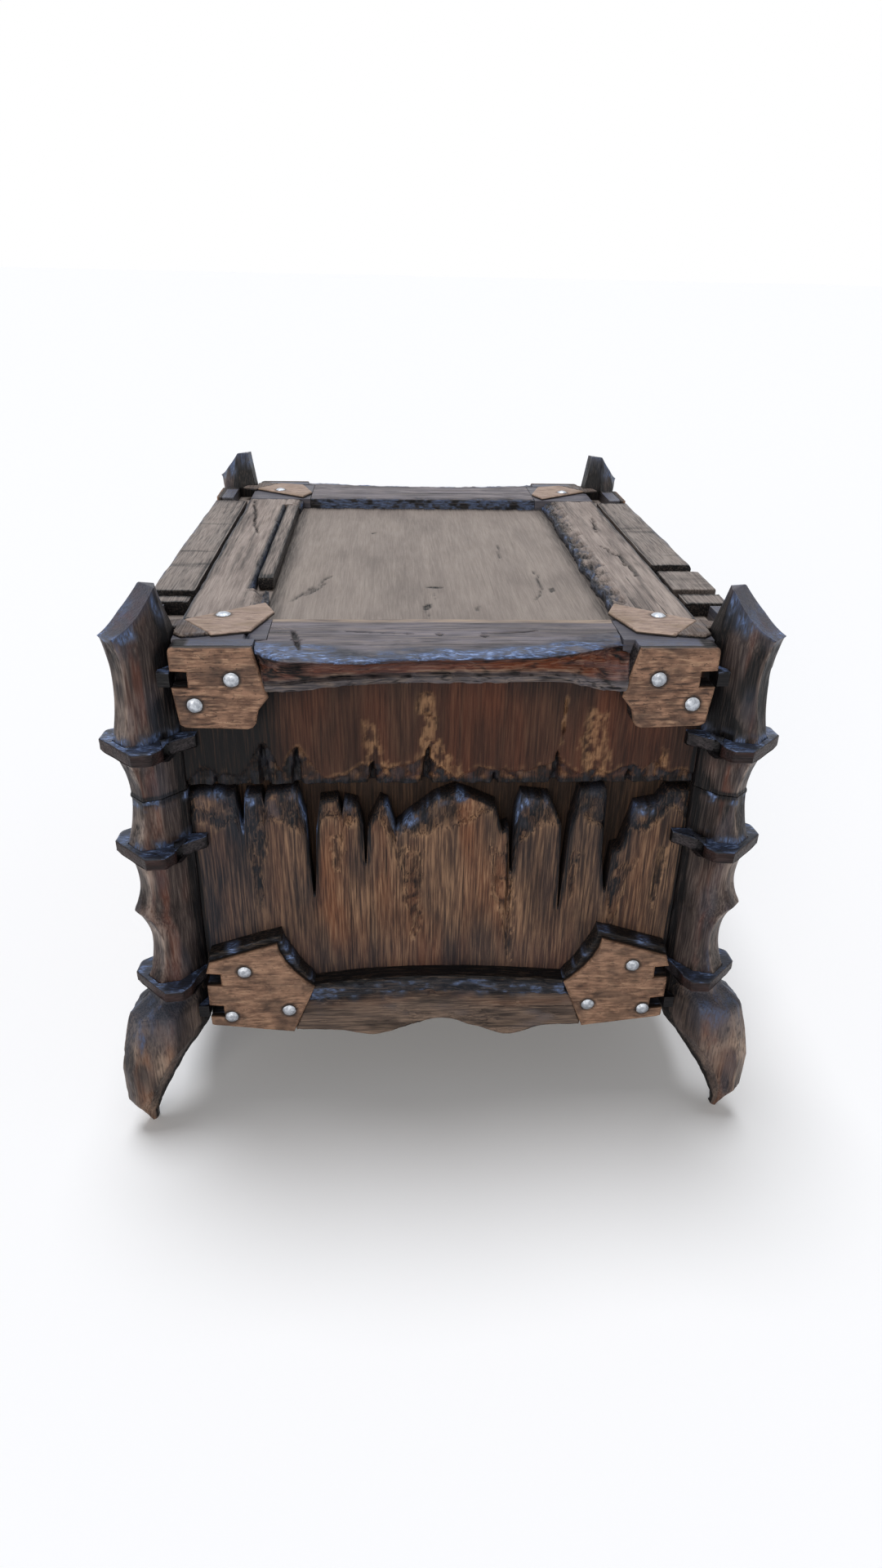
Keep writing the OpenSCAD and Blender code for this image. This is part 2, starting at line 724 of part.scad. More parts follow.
module lid_rivets() {
    color("#b4b6ba") {
        on_front() rivets(core_x, top_rivets, top_bracket_z);
        on_rear() rivets(core_x, top_rivets, top_bracket_z);
        on_left() rivets(core_y, top_rivets, top_bracket_z);
        on_right() rivets(core_y, top_rivets, top_bracket_z);
        on_corners()
            translate([plate_rivet.x, plate_rivet.y, lid_top_z + plate_t])
                mirror([0, 0, 1])
                    rivet();
    }
}

// ---- Locks --------------------------------------------------------------------------------------

module slider_lath() {
    color("#6f6156")
        box([lath_x - lath_w, lath_x], [lath_front, lath_rear], [frame_z + slide_gap, lid_top_z]);
}

module lath_pins() {
    color("#8f9296")
        for (y = pin_y)
            translate([pin_x, y, board_z - slide_gap])
                cylinder(d = pin_d, h = board_t + 2 * slide_gap);
}

// Bolt bar on the drive pins, its tongue and the keeper plate on the left liner
bolt_top = board_z - slide_gap;
bolt_end = 8;
tongue_z = board_z - tongue_drop;
tongue_y = pin_y[0] - bolt_end;
tongue_l = 12;
tongue_gap = 2;
keeper_x = -core_x + liner_t;
keeper_t = 4;
keeper_l = 28;
keeper_foot = 22;
keeper_head = 7;
keeper_rear = tongue_y - tongue_l - tongue_gap;
keeper_screw_y = [keeper_rear - keeper_l + 6, keeper_rear - 6];
keeper_screw_z = parting_z - keeper_foot + 7;

module lath_bolt() {
    leg = [keeper_x + slide_gap, keeper_x + slide_gap + keeper_t];
    arm = [tongue_y, tongue_y + 2 * bolt_end];
    bar = [pin_x - bolt_w / 2, pin_x + bolt_w / 2];
    color("#7c7f84") {
        box(bar, [pin_y[0] - bolt_end, pin_y[1] + bolt_end], [bolt_top - bolt_h, bolt_top]);
        box([leg[0], bar[0] + eps], arm, [bolt_top - bolt_h, bolt_top]);
        box(leg, arm, [tongue_z, bolt_top - bolt_h + eps]);
        box(leg, [tongue_y - tongue_l, tongue_y + eps], [tongue_z, tongue_z + tongue_h]);
    }
}

module bolt_keeper() {
    color("#6d7074")
        difference() {
            box(
                [keeper_x, keeper_x + keeper_t], [keeper_rear - keeper_l, keeper_rear],
                [parting_z - keeper_foot, tongue_z + tongue_h + keeper_head]
            );
            box(
                [keeper_x - 1, keeper_x + keeper_t + 1],
                [keeper_rear - lath_travel - tongue_gap, keeper_rear + 1],
                [tongue_z - slide_gap, tongue_z + tongue_h + slide_gap]
            );
            keeper_holes();
        }
}

module keeper_holes() {
    for (y = keeper_screw_y)
        translate([keeper_x - 1, y, keeper_screw_z])
            rotate([0, 90, 0])
                cylinder(d = shank_d + hole_gap, h = keeper_t + 2);
}

module keeper_screws() {
    color("#8f9296")
        for (y = keeper_screw_y)
            translate([keeper_x, y, keeper_screw_z])
                rotate([0, 90, 0]) {
                    cylinder(d = shank_d, h = keeper_t + eps);
                    translate([0, 0, keeper_t])
                        cylinder(d1 = shank_d * 2, d2 = shank_d * 1.5, h = 1.4);
                }
}

module side_slider() {
    color("#74665b")
        box(
            [frame_x + slide_gap, half_w + side_rail_out],
            slider_y, [frame_z + slide_gap, lid_top_z - 0.6]
        );
}

module side_slider_key() {
    color("#8f9296")
        translate([key_x, key_y, 0]) {
            translate([0, 0, key_head_z])
                cylinder(d = key_d, h = frame_z + slide_gap - key_head_z);
            translate([0, 0, key_head_z])
                cylinder(d = key_head_d, h = key_head_h);
        }
}

base_floor();
base_panel_front();
base_panel_rear();
base_panel_left();
base_panel_right();
liner_front();
liner_rear();
liner_left();
liner_right();
bottom_rail_front();
bottom_rail_rear();
bottom_rail_left();
bottom_rail_right();
bottom_brackets_front();
bottom_brackets_rear();
bottom_brackets_left();
bottom_brackets_right();
post_front_left();
post_front_right();
post_rear_left();
post_rear_right();
foot_front_left();
foot_front_right();
foot_rear_left();
foot_rear_right();
mid_collars();
low_collars();
base_rivets();
base_pegs();
bolt_keeper();
keeper_screws();
lid_board();
lid_panel_front();
lid_panel_rear();
lid_panel_left();
lid_panel_right();
lid_frame_left();
lid_frame_right();
top_beam_front();
top_beam_rear();
top_rail_left();
top_rail_right();
top_brackets_front();
top_brackets_rear();
top_brackets_left();
top_brackets_right();
corner_plates();
corner_leaves();
horn_front_left();
horn_front_right();
horn_rear_left();
horn_rear_right();
lid_collars();
lid_rivets();
lid_pegs();
slider_lath();
lath_pins();
lath_bolt();
side_slider();
side_slider_key();
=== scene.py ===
"""A carved and scorched wooden puzzle box on claw feet, dressed around its frame.

Lengths are in millimetres until finish_piece() turns them to metres. Side pieces are drawn on the plane
of their side as (along, out, up) and corner pieces from the inner corner of their post as (a, b, up).
Each piece is a Shape: a closed grid of points, laid in place, pushed in where it is brushed, hacked or
worn, and marked with charring that also paints shade, rubbed edges, rust-coloured wood and a painted cold
sheen for its material. In each piece q holds the points as drawn, from which the noise of its grain and wear
is worked out.
"""
import math

import bmesh
import bpy
import numpy as np
from mathutils import Matrix, Vector


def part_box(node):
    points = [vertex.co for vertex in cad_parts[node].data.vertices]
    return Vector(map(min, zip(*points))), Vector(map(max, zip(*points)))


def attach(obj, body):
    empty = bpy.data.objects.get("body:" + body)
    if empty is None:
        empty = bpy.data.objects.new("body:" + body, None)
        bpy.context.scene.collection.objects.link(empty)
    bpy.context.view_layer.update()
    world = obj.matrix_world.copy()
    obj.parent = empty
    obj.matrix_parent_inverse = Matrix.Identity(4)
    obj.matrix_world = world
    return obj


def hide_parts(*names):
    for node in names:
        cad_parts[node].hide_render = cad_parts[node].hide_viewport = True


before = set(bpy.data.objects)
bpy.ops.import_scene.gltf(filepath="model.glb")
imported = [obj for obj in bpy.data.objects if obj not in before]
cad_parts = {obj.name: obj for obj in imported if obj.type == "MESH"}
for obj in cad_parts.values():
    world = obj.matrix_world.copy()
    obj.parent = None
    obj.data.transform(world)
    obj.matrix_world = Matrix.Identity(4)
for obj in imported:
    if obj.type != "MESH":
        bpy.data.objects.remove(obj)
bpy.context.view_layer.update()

MM = 0.001
SIDES = ("front", "rear", "left", "right")
CORNERS = {"front_left": (-1, -1), "front_right": (1, -1), "rear_left": (-1, 1), "rear_right": (1, 1)}


# ---- Sizes, from the frame ---------------------------------------------------------------------------

def span(node):
    """Lowest and highest corner of a frame node, in mm."""
    low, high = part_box(node)
    return np.array(low) / MM, np.array(high) / MM


def levels(node):
    """Heights of the foot and the top of a frame node, in mm."""
    low, high = span(node)
    return low[2], high[2]


# Case: half sizes over its panels (HALF_) and between its posts (CORE_), and the panels' thickness
FRONT_LOW, FRONT_HIGH = span("base_panel_front")
CORE_X = FRONT_HIGH[0]
HALF_D = -FRONT_LOW[1]
HALF_W = -span("base_panel_left")[0][0]
PANEL_T = HALF_W - CORE_X
CORE_Y = HALF_D - PANEL_T
HALF = {"front": CORE_X, "rear": CORE_X, "left": CORE_Y, "right": CORE_Y}

# Foot and top of the base panels and of the lid panels
CASE_Z, PARTING_Z = levels("base_panel_front")
LID_Z, BOARD_Z = levels("lid_panel_front")

# Boards beside the sunken field, which stand from its face to the top of the lid
FIELD_LOW, FIELD_HIGH = span("lid_frame_right")
FIELD_X, FRAME_X = FIELD_LOW[0], FIELD_HIGH[0]
FRAME_Z, LID_TOP_Z = levels("lid_frame_right")

# Posts and what stands out from them: collars, thorn, knee of the claw and tip of the horn
LOW_COLLAR_Z, LOW_COLLAR_TOP = levels("low_collars")
MID_COLLAR_Z, MID_COLLAR_TOP = levels("mid_collars")
LID_COLLAR_Z, LID_COLLAR_TOP = levels("lid_collars")
COLLAR_REACH = span("low_collars")[1][0] - CORE_X
THORN_Z = MID_COLLAR_Z - 25
KNEE = span("foot_front_right")[1][0] - CORE_X
TOP_Z = levels("horn_front_right")[1]

# Rails, beams and brackets: how far they stand out from the panels, and their own sizes
RAIL_OUT = -span("bottom_brackets_front")[0][1] - HALF_D
SIDE_RAIL_OUT = span("top_rail_right")[1][0] - HALF_W
SIDE_RAIL_H = 18.0
BEAM_H = 14.0
LEDGE_Z = LID_TOP_Z - SIDE_RAIL_H
BEAM_Z = LID_TOP_Z - BEAM_H
BRACKET_T = 3.0
BRACKET_W = 35.0
LOW_BRACKET_Z = CASE_Z - 1
NOTCH_H = 6.5
RIVET_R = 3.0
RIVET_H = 0.8

# First seed of the grain of each kind of piece, and the step from one side or corner to the next
SEEDS = {
    "base_panel": (0, 11), "lid_panel": (60, 11), "post": (100, 13), "horn": (200, 13), "claw": (300, 13),
    "collar": (400, 7), "bracket": (500, 10), "bottom_rail": (600, 10), "beam": (700, 10),
    "side_rail": (800, 10), "lid_frame": (900, 0), "field": (920, 0), "lath": (930, 0), "slider": (940, 0),
    "plate": (950, 1), "leaf": (960, 1), "peg": (5, 0), "frame_edge": (31, 0), "wear": (97, 0),
}


def seed_of(kind, place="front"):
    """Seed of the grain of the piece of a kind on a side or at a corner."""
    first, step = SEEDS[kind]
    return first + step * ((*SIDES, *CORNERS).index(place) % 4)


# ---- Carver's tools ----------------------------------------------------------------------------------

# Marks of fire and brush, and painted light, from 0 to 1 at each point: char with painted shade, edges rubbed
# pale, rusty tan, and a painted sheen
MARKS = ("char", "rub", "rust", "glint")
# Angle between two faces from which their edge looks sharp
SHARP_DEG = 50


def hashed(cell, seed):
    """Repeatable number from 0 to 1 for each whole-number cell."""
    n = cell[:, 0] * 374761393 + cell[:, 1] * 668265263 + cell[:, 2] * 1440662683 + seed * 974634777
    n = (n ^ (n >> 13)) * 1274126177
    n = n ^ (n >> 16)
    return (n & 0xFFFF) / 65535.0


def rough(points, size, octaves=3, seed=0):
    """Smooth noise from -1 to 1 whose features are about size mm wide along each axis."""
    q = points / np.array(size, float) + seed * 3.7
    total, weight, gain = 0.0, 0.0, 1.0
    for octave in range(octaves):
        cell = np.floor(q).astype(np.int64)
        f = q - cell
        f = f * f * (3 - 2 * f)
        value = 0.0
        for step in np.ndindex(2, 2, 2):
            share = np.prod(np.where(np.array(step), f, 1 - f), axis=1)
            value = value + share * hashed(cell + np.array(step), seed + octave)
        total = total + gain * (2 * value - 1)
        weight += gain
        gain *= 0.55
        q = q * 2.03 + 17.1
    return total / weight


def curve(knots, x):
    """Smooth curve through (x, y) knots, flat beyond its ends."""
    xs, ys = np.array(knots, float).T
    slope = np.gradient(ys, xs)
    k = np.clip(np.searchsorted(xs, x) - 1, 0, len(xs) - 2)
    h = xs[k + 1] - xs[k]
    t = np.clip((x - xs[k]) / h, 0, 1)
    start = (1 + 2 * t) * (1 - t) ** 2 * ys[k] + t * (1 - t) ** 2 * h * slope[k]
    return start + t * t * (3 - 2 * t) * ys[k + 1] - t * t * (1 - t) * h * slope[k + 1]


def xyz(x, y=0, z=0):
    """Points as rows, from their places along each axis."""
    return np.stack(np.broadcast_arrays(x, y, z), axis=-1)


def ramp(x, low, high):
    """0 below low, 1 above high, smooth between."""
    t = np.clip((x - low) / (high - low), 0, 1)
    return t * t * (3 - 2 * t)


def between(outline):
    """The straight line through (x, y) places, as a function of x."""
    xs, ys = np.array(outline, float).T
    return lambda x: np.interp(x, xs, ys)


def straight(place):
    """A straight edge: the same place all along."""
    return lambda x: place + 0 * x


def far_from(a, b, outline):
    """Distance of each point (a, b) from an outline."""
    best = np.full(a.shape, 1e9)
    for (a0, b0), (a1, b1) in zip(outline, outline[1:]):
        da, db = a1 - a0, b1 - b0
        t = np.clip(((a - a0) * da + (b - b0) * db) / max(da * da + db * db, 1e-9), 0, 1)
        best = np.minimum(best, np.hypot(a - a0 - t * da, b - b0 - t * db))
    return best


def rounding(distance, radius):
    """How far a face falls back at a rounded edge."""
    near = np.clip(radius - distance, 0, radius)
    return radius - np.sqrt(radius * radius - near * near)


def rising(knots, nudge=0.12):
    """Knots with any place that repeats or runs back moved just past the one before."""
    tidy = [knots[0]]
    for x, y in knots[1:]:
        tidy.append((max(x, tidy[-1][0] + nudge), y))
    return tidy


def places(knots, step):
    """Column places: every knot, and even steps between them."""
    found = [knots[0][0]]
    for (x0, _), (x1, _) in zip(knots, knots[1:]):
        count = max(1, round((x1 - x0) / step))
        found += [x0 + (x1 - x0) * (i + 1) / count for i in range(count)]
    return np.array(found)


class Shape:
    """One closed mesh on the bench: its points in mm, and the marks of fire and brush, painted shade and
    painted sheen on them.
    """

    def __init__(self, bm):
        """Takes over a bmesh drawn in mm, without marks."""
        self.mesh = bpy.data.meshes.new("shape")
        bm.to_mesh(self.mesh)
        bm.free()
        self.p = self.read(self.mesh.vertices, "co")
        self.marks = {mark: np.zeros(len(self.p)) for mark in MARKS}

    @staticmethod
    def read(items, what):
        """One vector of each vertex, as rows."""
        values = np.empty(len(items) * 3)
        items.foreach_get(what, values)
        return values.reshape(-1, 3)

    def normals(self):
        """Outward direction at every point."""
        self.mesh.vertices.foreach_set("co", self.p.ravel())
        bm = bmesh.new()
        bm.from_mesh(self.mesh)
        bmesh.ops.recalc_face_normals(bm, faces=bm.faces[:])
        bm.to_mesh(self.mesh)
        bm.free()
        return self.read(self.mesh.vertices, "normal")

    def push(self, amount):
        """Moves every point outwards by its amount."""
        self.p = self.p + self.normals() * np.broadcast_to(amount, len(self.p))[:, None]

    def mark(self, **amounts):
        """Adds to marks, each from 0 to 1 at every point."""
        for name, amount in amounts.items():
            self.marks[name] = np.clip(self.marks[name] + amount, 0, 1)


def slab(columns, rows, walls=2):
    """Closed slab: x and y of its face run from -1 to 1, and z from 0 at the face to 1 at the back."""
    bm = bmesh.new()
    bmesh.ops.create_grid(bm, x_segments=columns, y_segments=rows, size=1)
    rim = [e for e in bm.edges if e.is_boundary]
    for wall in range(walls):
        grown = bmesh.ops.extrude_edge_only(bm, edges=rim)["geom"]
        rim = [e for e in grown if isinstance(e, bmesh.types.BMEdge) and e.is_boundary]
        for v in {v for e in rim for v in e.verts}:
            v.co.z = (wall + 1) / walls
    bmesh.ops.holes_fill(bm, edges=rim, sides=0)
    return bm


def board(knots, low, high, step, rows, walls=2):
    """Slab whose columns stand at the knots and every step between, from low(a) to high(a).
    shape.a and shape.b are the places on its face, and shape.depth runs from face to back."""
    columns = places(knots, step)
    shape = Shape(slab(len(columns) - 1, rows, walls))
    index = np.rint((shape.p[:, 0] + 1) / 2 * (len(columns) - 1)).astype(int)
    share = (shape.p[:, 1] + 1) / 2
    shape.a = columns[index]
    bottom, top = low(shape.a), high(shape.a)
    shape.b = bottom + share * (top - bottom)
    shape.depth = shape.p[:, 2].copy()
    return shape


def brick(cuts):
    """Closed block from -1 to 1 on each axis, with a grid of faces on every side."""
    bm = bmesh.new()
    bmesh.ops.create_cube(bm, size=2)
    for axis, count in enumerate(cuts):
        lengthwise = []
        for edge in bm.edges:
            run = edge.verts[1].co - edge.verts[0].co
            if abs(run[axis]) > 0.9 * run.length:
                lengthwise.append(edge)
        bmesh.ops.subdivide_edges(bm, edges=lengthwise, cuts=count - 1, use_grid_fill=True)
    return bm


def along(path, share):
    """Points (a, b) at the given shares of a path of (share, a, b) knots."""
    a = np.broadcast_to(path[0][1], share.shape) + 0.0
    b = np.broadcast_to(path[0][2], share.shape) + 0.0
    for (s0, a0, b0), (s1, a1, b1) in zip(path, path[1:]):
        f = np.clip((share - s0) / (s1 - s0), 0, 1)
        a = a + f * (a1 - a0)
        b = b + f * (b1 - b0)
    return np.stack([a, b], axis=1)


def loft(cuts, section):
    """Closed block whose sections lie between four paths: section(w) gives the bottom, top, left and
    right path at shares w of its length. shape.u, shape.v and shape.w are the shares of every point."""
    shape = Shape(brick(cuts))
    u, v, w = (shape.p.T + 1) / 2
    bottom, top, left, right = section(w)
    zero, one = np.zeros_like(u), np.ones_like(u)
    U, V = u[:, None], v[:, None]
    place = (1 - V) * along(bottom, u) + V * along(top, u)
    place = place + (1 - U) * along(left, v) + U * along(right, v)
    place -= (1 - U) * (1 - V) * along(bottom, zero) + U * (1 - V) * along(bottom, one)
    place -= (1 - U) * V * along(top, zero) + U * V * along(top, one)
    shape.a, shape.b = place.T
    shape.u, shape.v, shape.w = u, v, w
    return shape


def on_side(side, run, out, up):
    """Points of a side piece in the frame: run along the side, out from its panel plane, and up."""
    if side == "front":
        return xyz(run, -HALF_D - out, up)
    if side == "rear":
        return xyz(-run, HALF_D + out, up)
    if side == "left":
        return xyz(-HALF_W - out, -run, up)
    return xyz(HALF_W + out, run, up)


def on_corner(corner, a, b, up):
    """Points of a corner piece in the frame, from the inner corner of its post."""
    sx, sy = CORNERS[corner]
    return xyz(sx * (CORE_X + a), sy * (CORE_Y + b), up)


def finish_piece(name, body, material, shapes, nodes=()):
    """Joins the shapes into one piece in metres, with its marks, material, body and nodes."""
    bm = bmesh.new()
    for shape in shapes:
        shape.mesh.vertices.foreach_set("co", (shape.p * MM).ravel())
        bm.from_mesh(shape.mesh)
        bpy.data.meshes.remove(shape.mesh)
    bmesh.ops.recalc_face_normals(bm, faces=bm.faces[:])
    mesh = bpy.data.meshes.new(name)
    bm.to_mesh(mesh)
    bm.free()
    for mark in MARKS:
        layer = mesh.attributes.new(mark, "FLOAT", "POINT")
        layer.data.foreach_set("value", np.concatenate([shape.marks[mark] for shape in shapes]))
    mesh.shade_smooth()
    mesh.set_sharp_from_angle(angle=math.radians(SHARP_DEG))
    mesh.materials.append(material)
    piece = bpy.data.objects.new(name, mesh)
    bpy.context.scene.collection.objects.link(piece)
    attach(piece, body)
    if nodes:
        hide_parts(*nodes)
    return piece


# ---- Materials ---------------------------------------------------------------------------------------

def srgb(code):
    """Linear colour of an sRGB hex value."""
    channels = [int(code[i:i + 2], 16) / 255 for i in (1, 3, 5)]
    linear = [c / 12.92 if c <= 0.04045 else ((c + 0.055) / 1.055) ** 2.4 for c in channels]
    return (*linear, 1.0)


def add(tree, kind, inputs=(), out=None, **settings):
    """Adds a node with its settings and links, and gives its output: the named one, or the first in use."""
    node = tree.nodes.new(kind)
    for key, value in settings.items():
        setattr(node, key, value)
    for key, value in dict(inputs).items():
        if isinstance(value, bpy.types.NodeSocket):
            tree.links.new(value, node.inputs[key])
        else:
            node.inputs[key].default_value = value
    shown = [socket for socket in node.outputs if socket.enabled]
    return node.outputs[out] if out else shown[0] if shown else node


def new_material(name):
    """An empty material and its node tree."""
    material = bpy.data.materials.new(name)
    material.use_nodes = True
    material.node_tree.nodes.clear()
    return material, material.node_tree


# Grain of the ply: mm across and along the fibres, and octaves of detail. Fibres and pores are drawn a
# little coarser than they are, to show.
GRAIN = {
    "streak": (5.0, 90.0, 2.0),
    "fibre": (0.65, 15.0, 3.0),
    "pore": (0.45, 3.0, 2.0),
    "mottle": (13.0, 34.0, 3.0),
    "check": (0.8, 75.0, 1.0),
    # gleam places the painted sheen and painted highlights
    "gleam": (0.8, 3.2, 3.0),
}
# Soot, also used for painted shade, and the cold colours of the painted sheen, from its dull tint to its
# brightest painted highlights
SOOT_AND_SHADE = "#0b0a0c"
PAINTED_SHEEN_DARK = "#434855"
PAINTED_SHEEN_MID = "#56678a"
PAINTED_HIGHLIGHT = "#8fa5cf"
# Reflection of wood and wax. Open fibres and soot trap much of it
WAX_IOR = 1.5
CHARRED_SPECULAR = 0.18
STAINED_SPECULAR = 0.3


def grain(tree, axis, sizes):
    """Noise for each entry of sizes, stretched along the axis of the fibres."""
    place = add(tree, "ShaderNodeTexCoord", out="Object")
    noise = {}
    for key, (across, length, detail) in sizes.items():
        scale = [1 / (across * MM)] * 3
        scale["XYZ".index(axis)] = 1 / (length * MM)
        stretched = add(tree, "ShaderNodeMapping", {"Vector": place, "Scale": scale})
        noise[key] = add(tree, "ShaderNodeTexNoise", {
            "Vector": stretched, "Scale": 1.0, "Detail": detail, "Roughness": 0.55, "Distortion": 0.2,
        })
    return noise


def layered(tree, base, coats):
    """A base colour under coats of (colour, place) or (colour, place, place). A place is a share, or a value
    with the two readings between which its share changes, and the shares at these two."""
    colour = srgb(base)
    for coat, *spots in coats:
        amounts = []
        for spot in (*spots, 1.0)[:2]:
            if isinstance(spot, tuple):
                value, low, high, start, finish = spot
                spot = add(tree, "ShaderNodeMapRange", {
                    "Value": value, "From Min": low, "From Max": high, "To Min": start, "To Max": finish,
                })
            amounts.append(spot)
        amount = add(tree, "ShaderNodeMath", dict(enumerate(amounts)), operation="MULTIPLY", use_clamp=True)
        colour = add(tree, "ShaderNodeMix", {0: amount, 6: colour, 7: srgb(coat)}, data_type="RGBA")
    return colour


def scorched_wood(name, axis, pale, mid, deep, rust, ridges, hollows, checks, dull):
    """Softwood ply, torched, wire-brushed along its grain and waxed: pale ridges between dark hollows, soot
    that also paints shade, and a painted cold sheen with painted highlights. ridges, hollows and checks say
    how far each shows, and dull is the roughness."""
    material, tree = new_material(name)
    noise = grain(tree, axis, GRAIN)
    char, rub, rusty, glint = (add(tree, "ShaderNodeAttribute", out="Fac", attribute_name=m) for m in MARKS)
    fibre, mottle, streak, gleam = noise["fibre"], noise["mottle"], noise["streak"], noise["gleam"]
    colour = layered(tree, mid, [
        (deep, (streak, 0.60, 0.34, 0.0, 0.50)),
        (deep, (mottle, 0.56, 0.32, 0.0, 0.55)),
        (rust, rusty, (streak, 0.34, 0.58, 0.4, 1.0)),
        (pale, (fibre, 0.48, 0.66, 0.0, ridges), (mottle, 0.30, 0.60, 0.35, 1.0)),
        (pale, rub, (fibre, 0.34, 0.56, 0.1 + max(0, 0.5 - ridges), 0.9)),
        (deep, (fibre, 0.48, 0.32, 0.0, hollows)),
        (SOOT_AND_SHADE, (noise["check"], 0.33, 0.27, 0.0, checks)),
        (SOOT_AND_SHADE, char, (fibre, 0.64, 0.38, 0.75, 1.2)),
        (PAINTED_SHEEN_DARK, (glint, 0.0, 0.6, 0.0, 0.85), (fibre, 0.36, 0.50, 0.65, 1.0)),
        (PAINTED_SHEEN_MID, (glint, 0.35, 0.8, 0.0, 1.0), (gleam, 0.40, 0.56, 0.0, 0.95)),
        (PAINTED_HIGHLIGHT, (glint, 0.6, 1.0, 0.0, 1.0), (gleam, 0.54, 0.68, 0.0, 0.9)),
    ])
    relief = add(tree, "ShaderNodeMix", {0: 0.35, 2: fibre, 3: noise["pore"]}, data_type="FLOAT")
    bump = add(tree, "ShaderNodeBump", {"Strength": 0.4 + ridges, "Distance": 0.6 * MM, "Height": relief})
    # Brushed ridges are a little smoother than hollows, and places with painted sheen are smoother than both
    brushed_dull = add(tree, "ShaderNodeMapRange", {
        "Value": fibre, "From Min": 0.30, "From Max": 0.70, "To Min": dull + 0.10, "To Max": dull - 0.08,
    })
    burnished = add(tree, "ShaderNodeMath", {0: glint, 1: -0.22, 2: brushed_dull}, operation="MULTIPLY_ADD")
    shader = add(tree, "ShaderNodeBsdfPrincipled", {
        "Base Color": colour, "Roughness": burnished, "IOR": WAX_IOR, "Specular IOR Level": CHARRED_SPECULAR,
        "Normal": bump,
    })
    add(tree, "ShaderNodeOutputMaterial", {"Surface": shader})
    return material


# Stains of the ply plates: base, patches, ridges, clouds, hollows and pits, and rubbed edges
COPPER = ("#674b3b", "#93705a", "#b18e72", "#46342b", "#33251f", "#9c7b63")
BUFF = ("#968073", "#a89080", "#b8a18e", "#88735f", "#6e5c52", "#b59d8a")
# Colour of charring and burnt edges, also used for the painted shadow rings round the rivets
BURNT_EDGE_AND_SHADE = "#120e0d"


def bracket_wood(name, axis, tones):
    """Thin birch ply plate, stained and brushed: scratches along its grain, clouds of stain, pale edges."""
    material, tree = new_material(name)
    noise = grain(tree, axis, {
        "fibre": (0.8, 7.0, 4.0), "mottle": (3.6, 6.0, 4.0), "pit": (0.9, 1.5, 2.0),
        "stain": (9.0, 15.0, 3.0),
    })
    base, patch, ridge, cloud, hollow, edge = tones
    char, rub = (add(tree, "ShaderNodeAttribute", out="Fac", attribute_name=m) for m in MARKS[:2])
    colour = layered(tree, base, [
        (patch, (noise["mottle"], 0.40, 0.60, 0.0, 1.0)),
        (ridge, (noise["fibre"], 0.54, 0.66, 0.0, 0.75)),
        (cloud, (noise["stain"], 0.52, 0.36, 0.0, 0.8)),
        (hollow, (noise["fibre"], 0.47, 0.33, 0.0, 0.9)),
        (hollow, (noise["pit"], 0.60, 0.72, 0.0, 0.8)),
        (edge, rub, (noise["mottle"], 0.35, 0.60, 0.1, 0.7)),
        (BURNT_EDGE_AND_SHADE, char),
    ])
    bump = add(tree, "ShaderNodeBump", {"Strength": 0.8, "Distance": 0.4 * MM, "Height": noise["fibre"]})
    dull = add(tree, "ShaderNodeMapRange", {
        "Value": noise["fibre"], "From Min": 0.3, "From Max": 0.7, "To Min": 0.72, "To Max": 0.5,
    })
    shader = add(tree, "ShaderNodeBsdfPrincipled", {
        "Base Color": colour, "Roughness": dull, "IOR": WAX_IOR, "Specular IOR Level": STAINED_SPECULAR,
        "Normal": bump,
    })
    add(tree, "ShaderNodeOutputMaterial", {"Surface": shader})
    return material


def worked_metal(name, axis, pattern, tones, shown, roughness, bump):
    """Bare metal with the marks of its tool. pattern is their noise, shown the two readings between which the
    second tone shows, roughness the readings and its two values, and bump the strength and depth in mm."""
    material, tree = new_material(name)
    marks = grain(tree, axis, {"marks": pattern})["marks"]
    low, high, rough_low, rough_high = roughness
    colour = layered(tree, tones[0], [(tones[1], (marks, *shown, 0.0, 1.0))])
    dull = add(tree, "ShaderNodeMapRange", {
        "Value": marks, "From Min": low, "From Max": high, "To Min": rough_low, "To Max": rough_high,
    })
    strength, depth = bump
    relief = add(tree, "ShaderNodeBump", {"Strength": strength, "Distance": depth * MM, "Height": marks})
    shader = add(tree, "ShaderNodeBsdfPrincipled", {
        "Base Color": colour, "Metallic": 1.0, "Roughness": dull, "Normal": relief,
    })
    add(tree, "ShaderNodeOutputMaterial", {"Surface": shader})
    return material


def hammered_aluminium():
    """Soft aluminium rivets, set by hammer: a dull pale grey skin with small dings."""
    return worked_metal(
        "hammered_aluminium", "Z", (1.4, 1.4, 3.0), ("#9b9fa6", "#c3c7cd"),
        shown=(0.40, 0.62), roughness=(0.35, 0.65, 0.62, 0.5), bump=(0.5, 0.3),
    )


def filed_steel():
    """Mild steel lock parts, filed along their length and lightly oiled: fine bright lines on dark grey."""
    return worked_metal(
        "filed_steel", "Y", (0.35, 9.0, 2.0), ("#6c6f75", "#9a9da3"),
        shown=(0.35, 0.65), roughness=(0.3, 0.7, 0.5, 0.3), bump=(0.4, 0.2),
    )


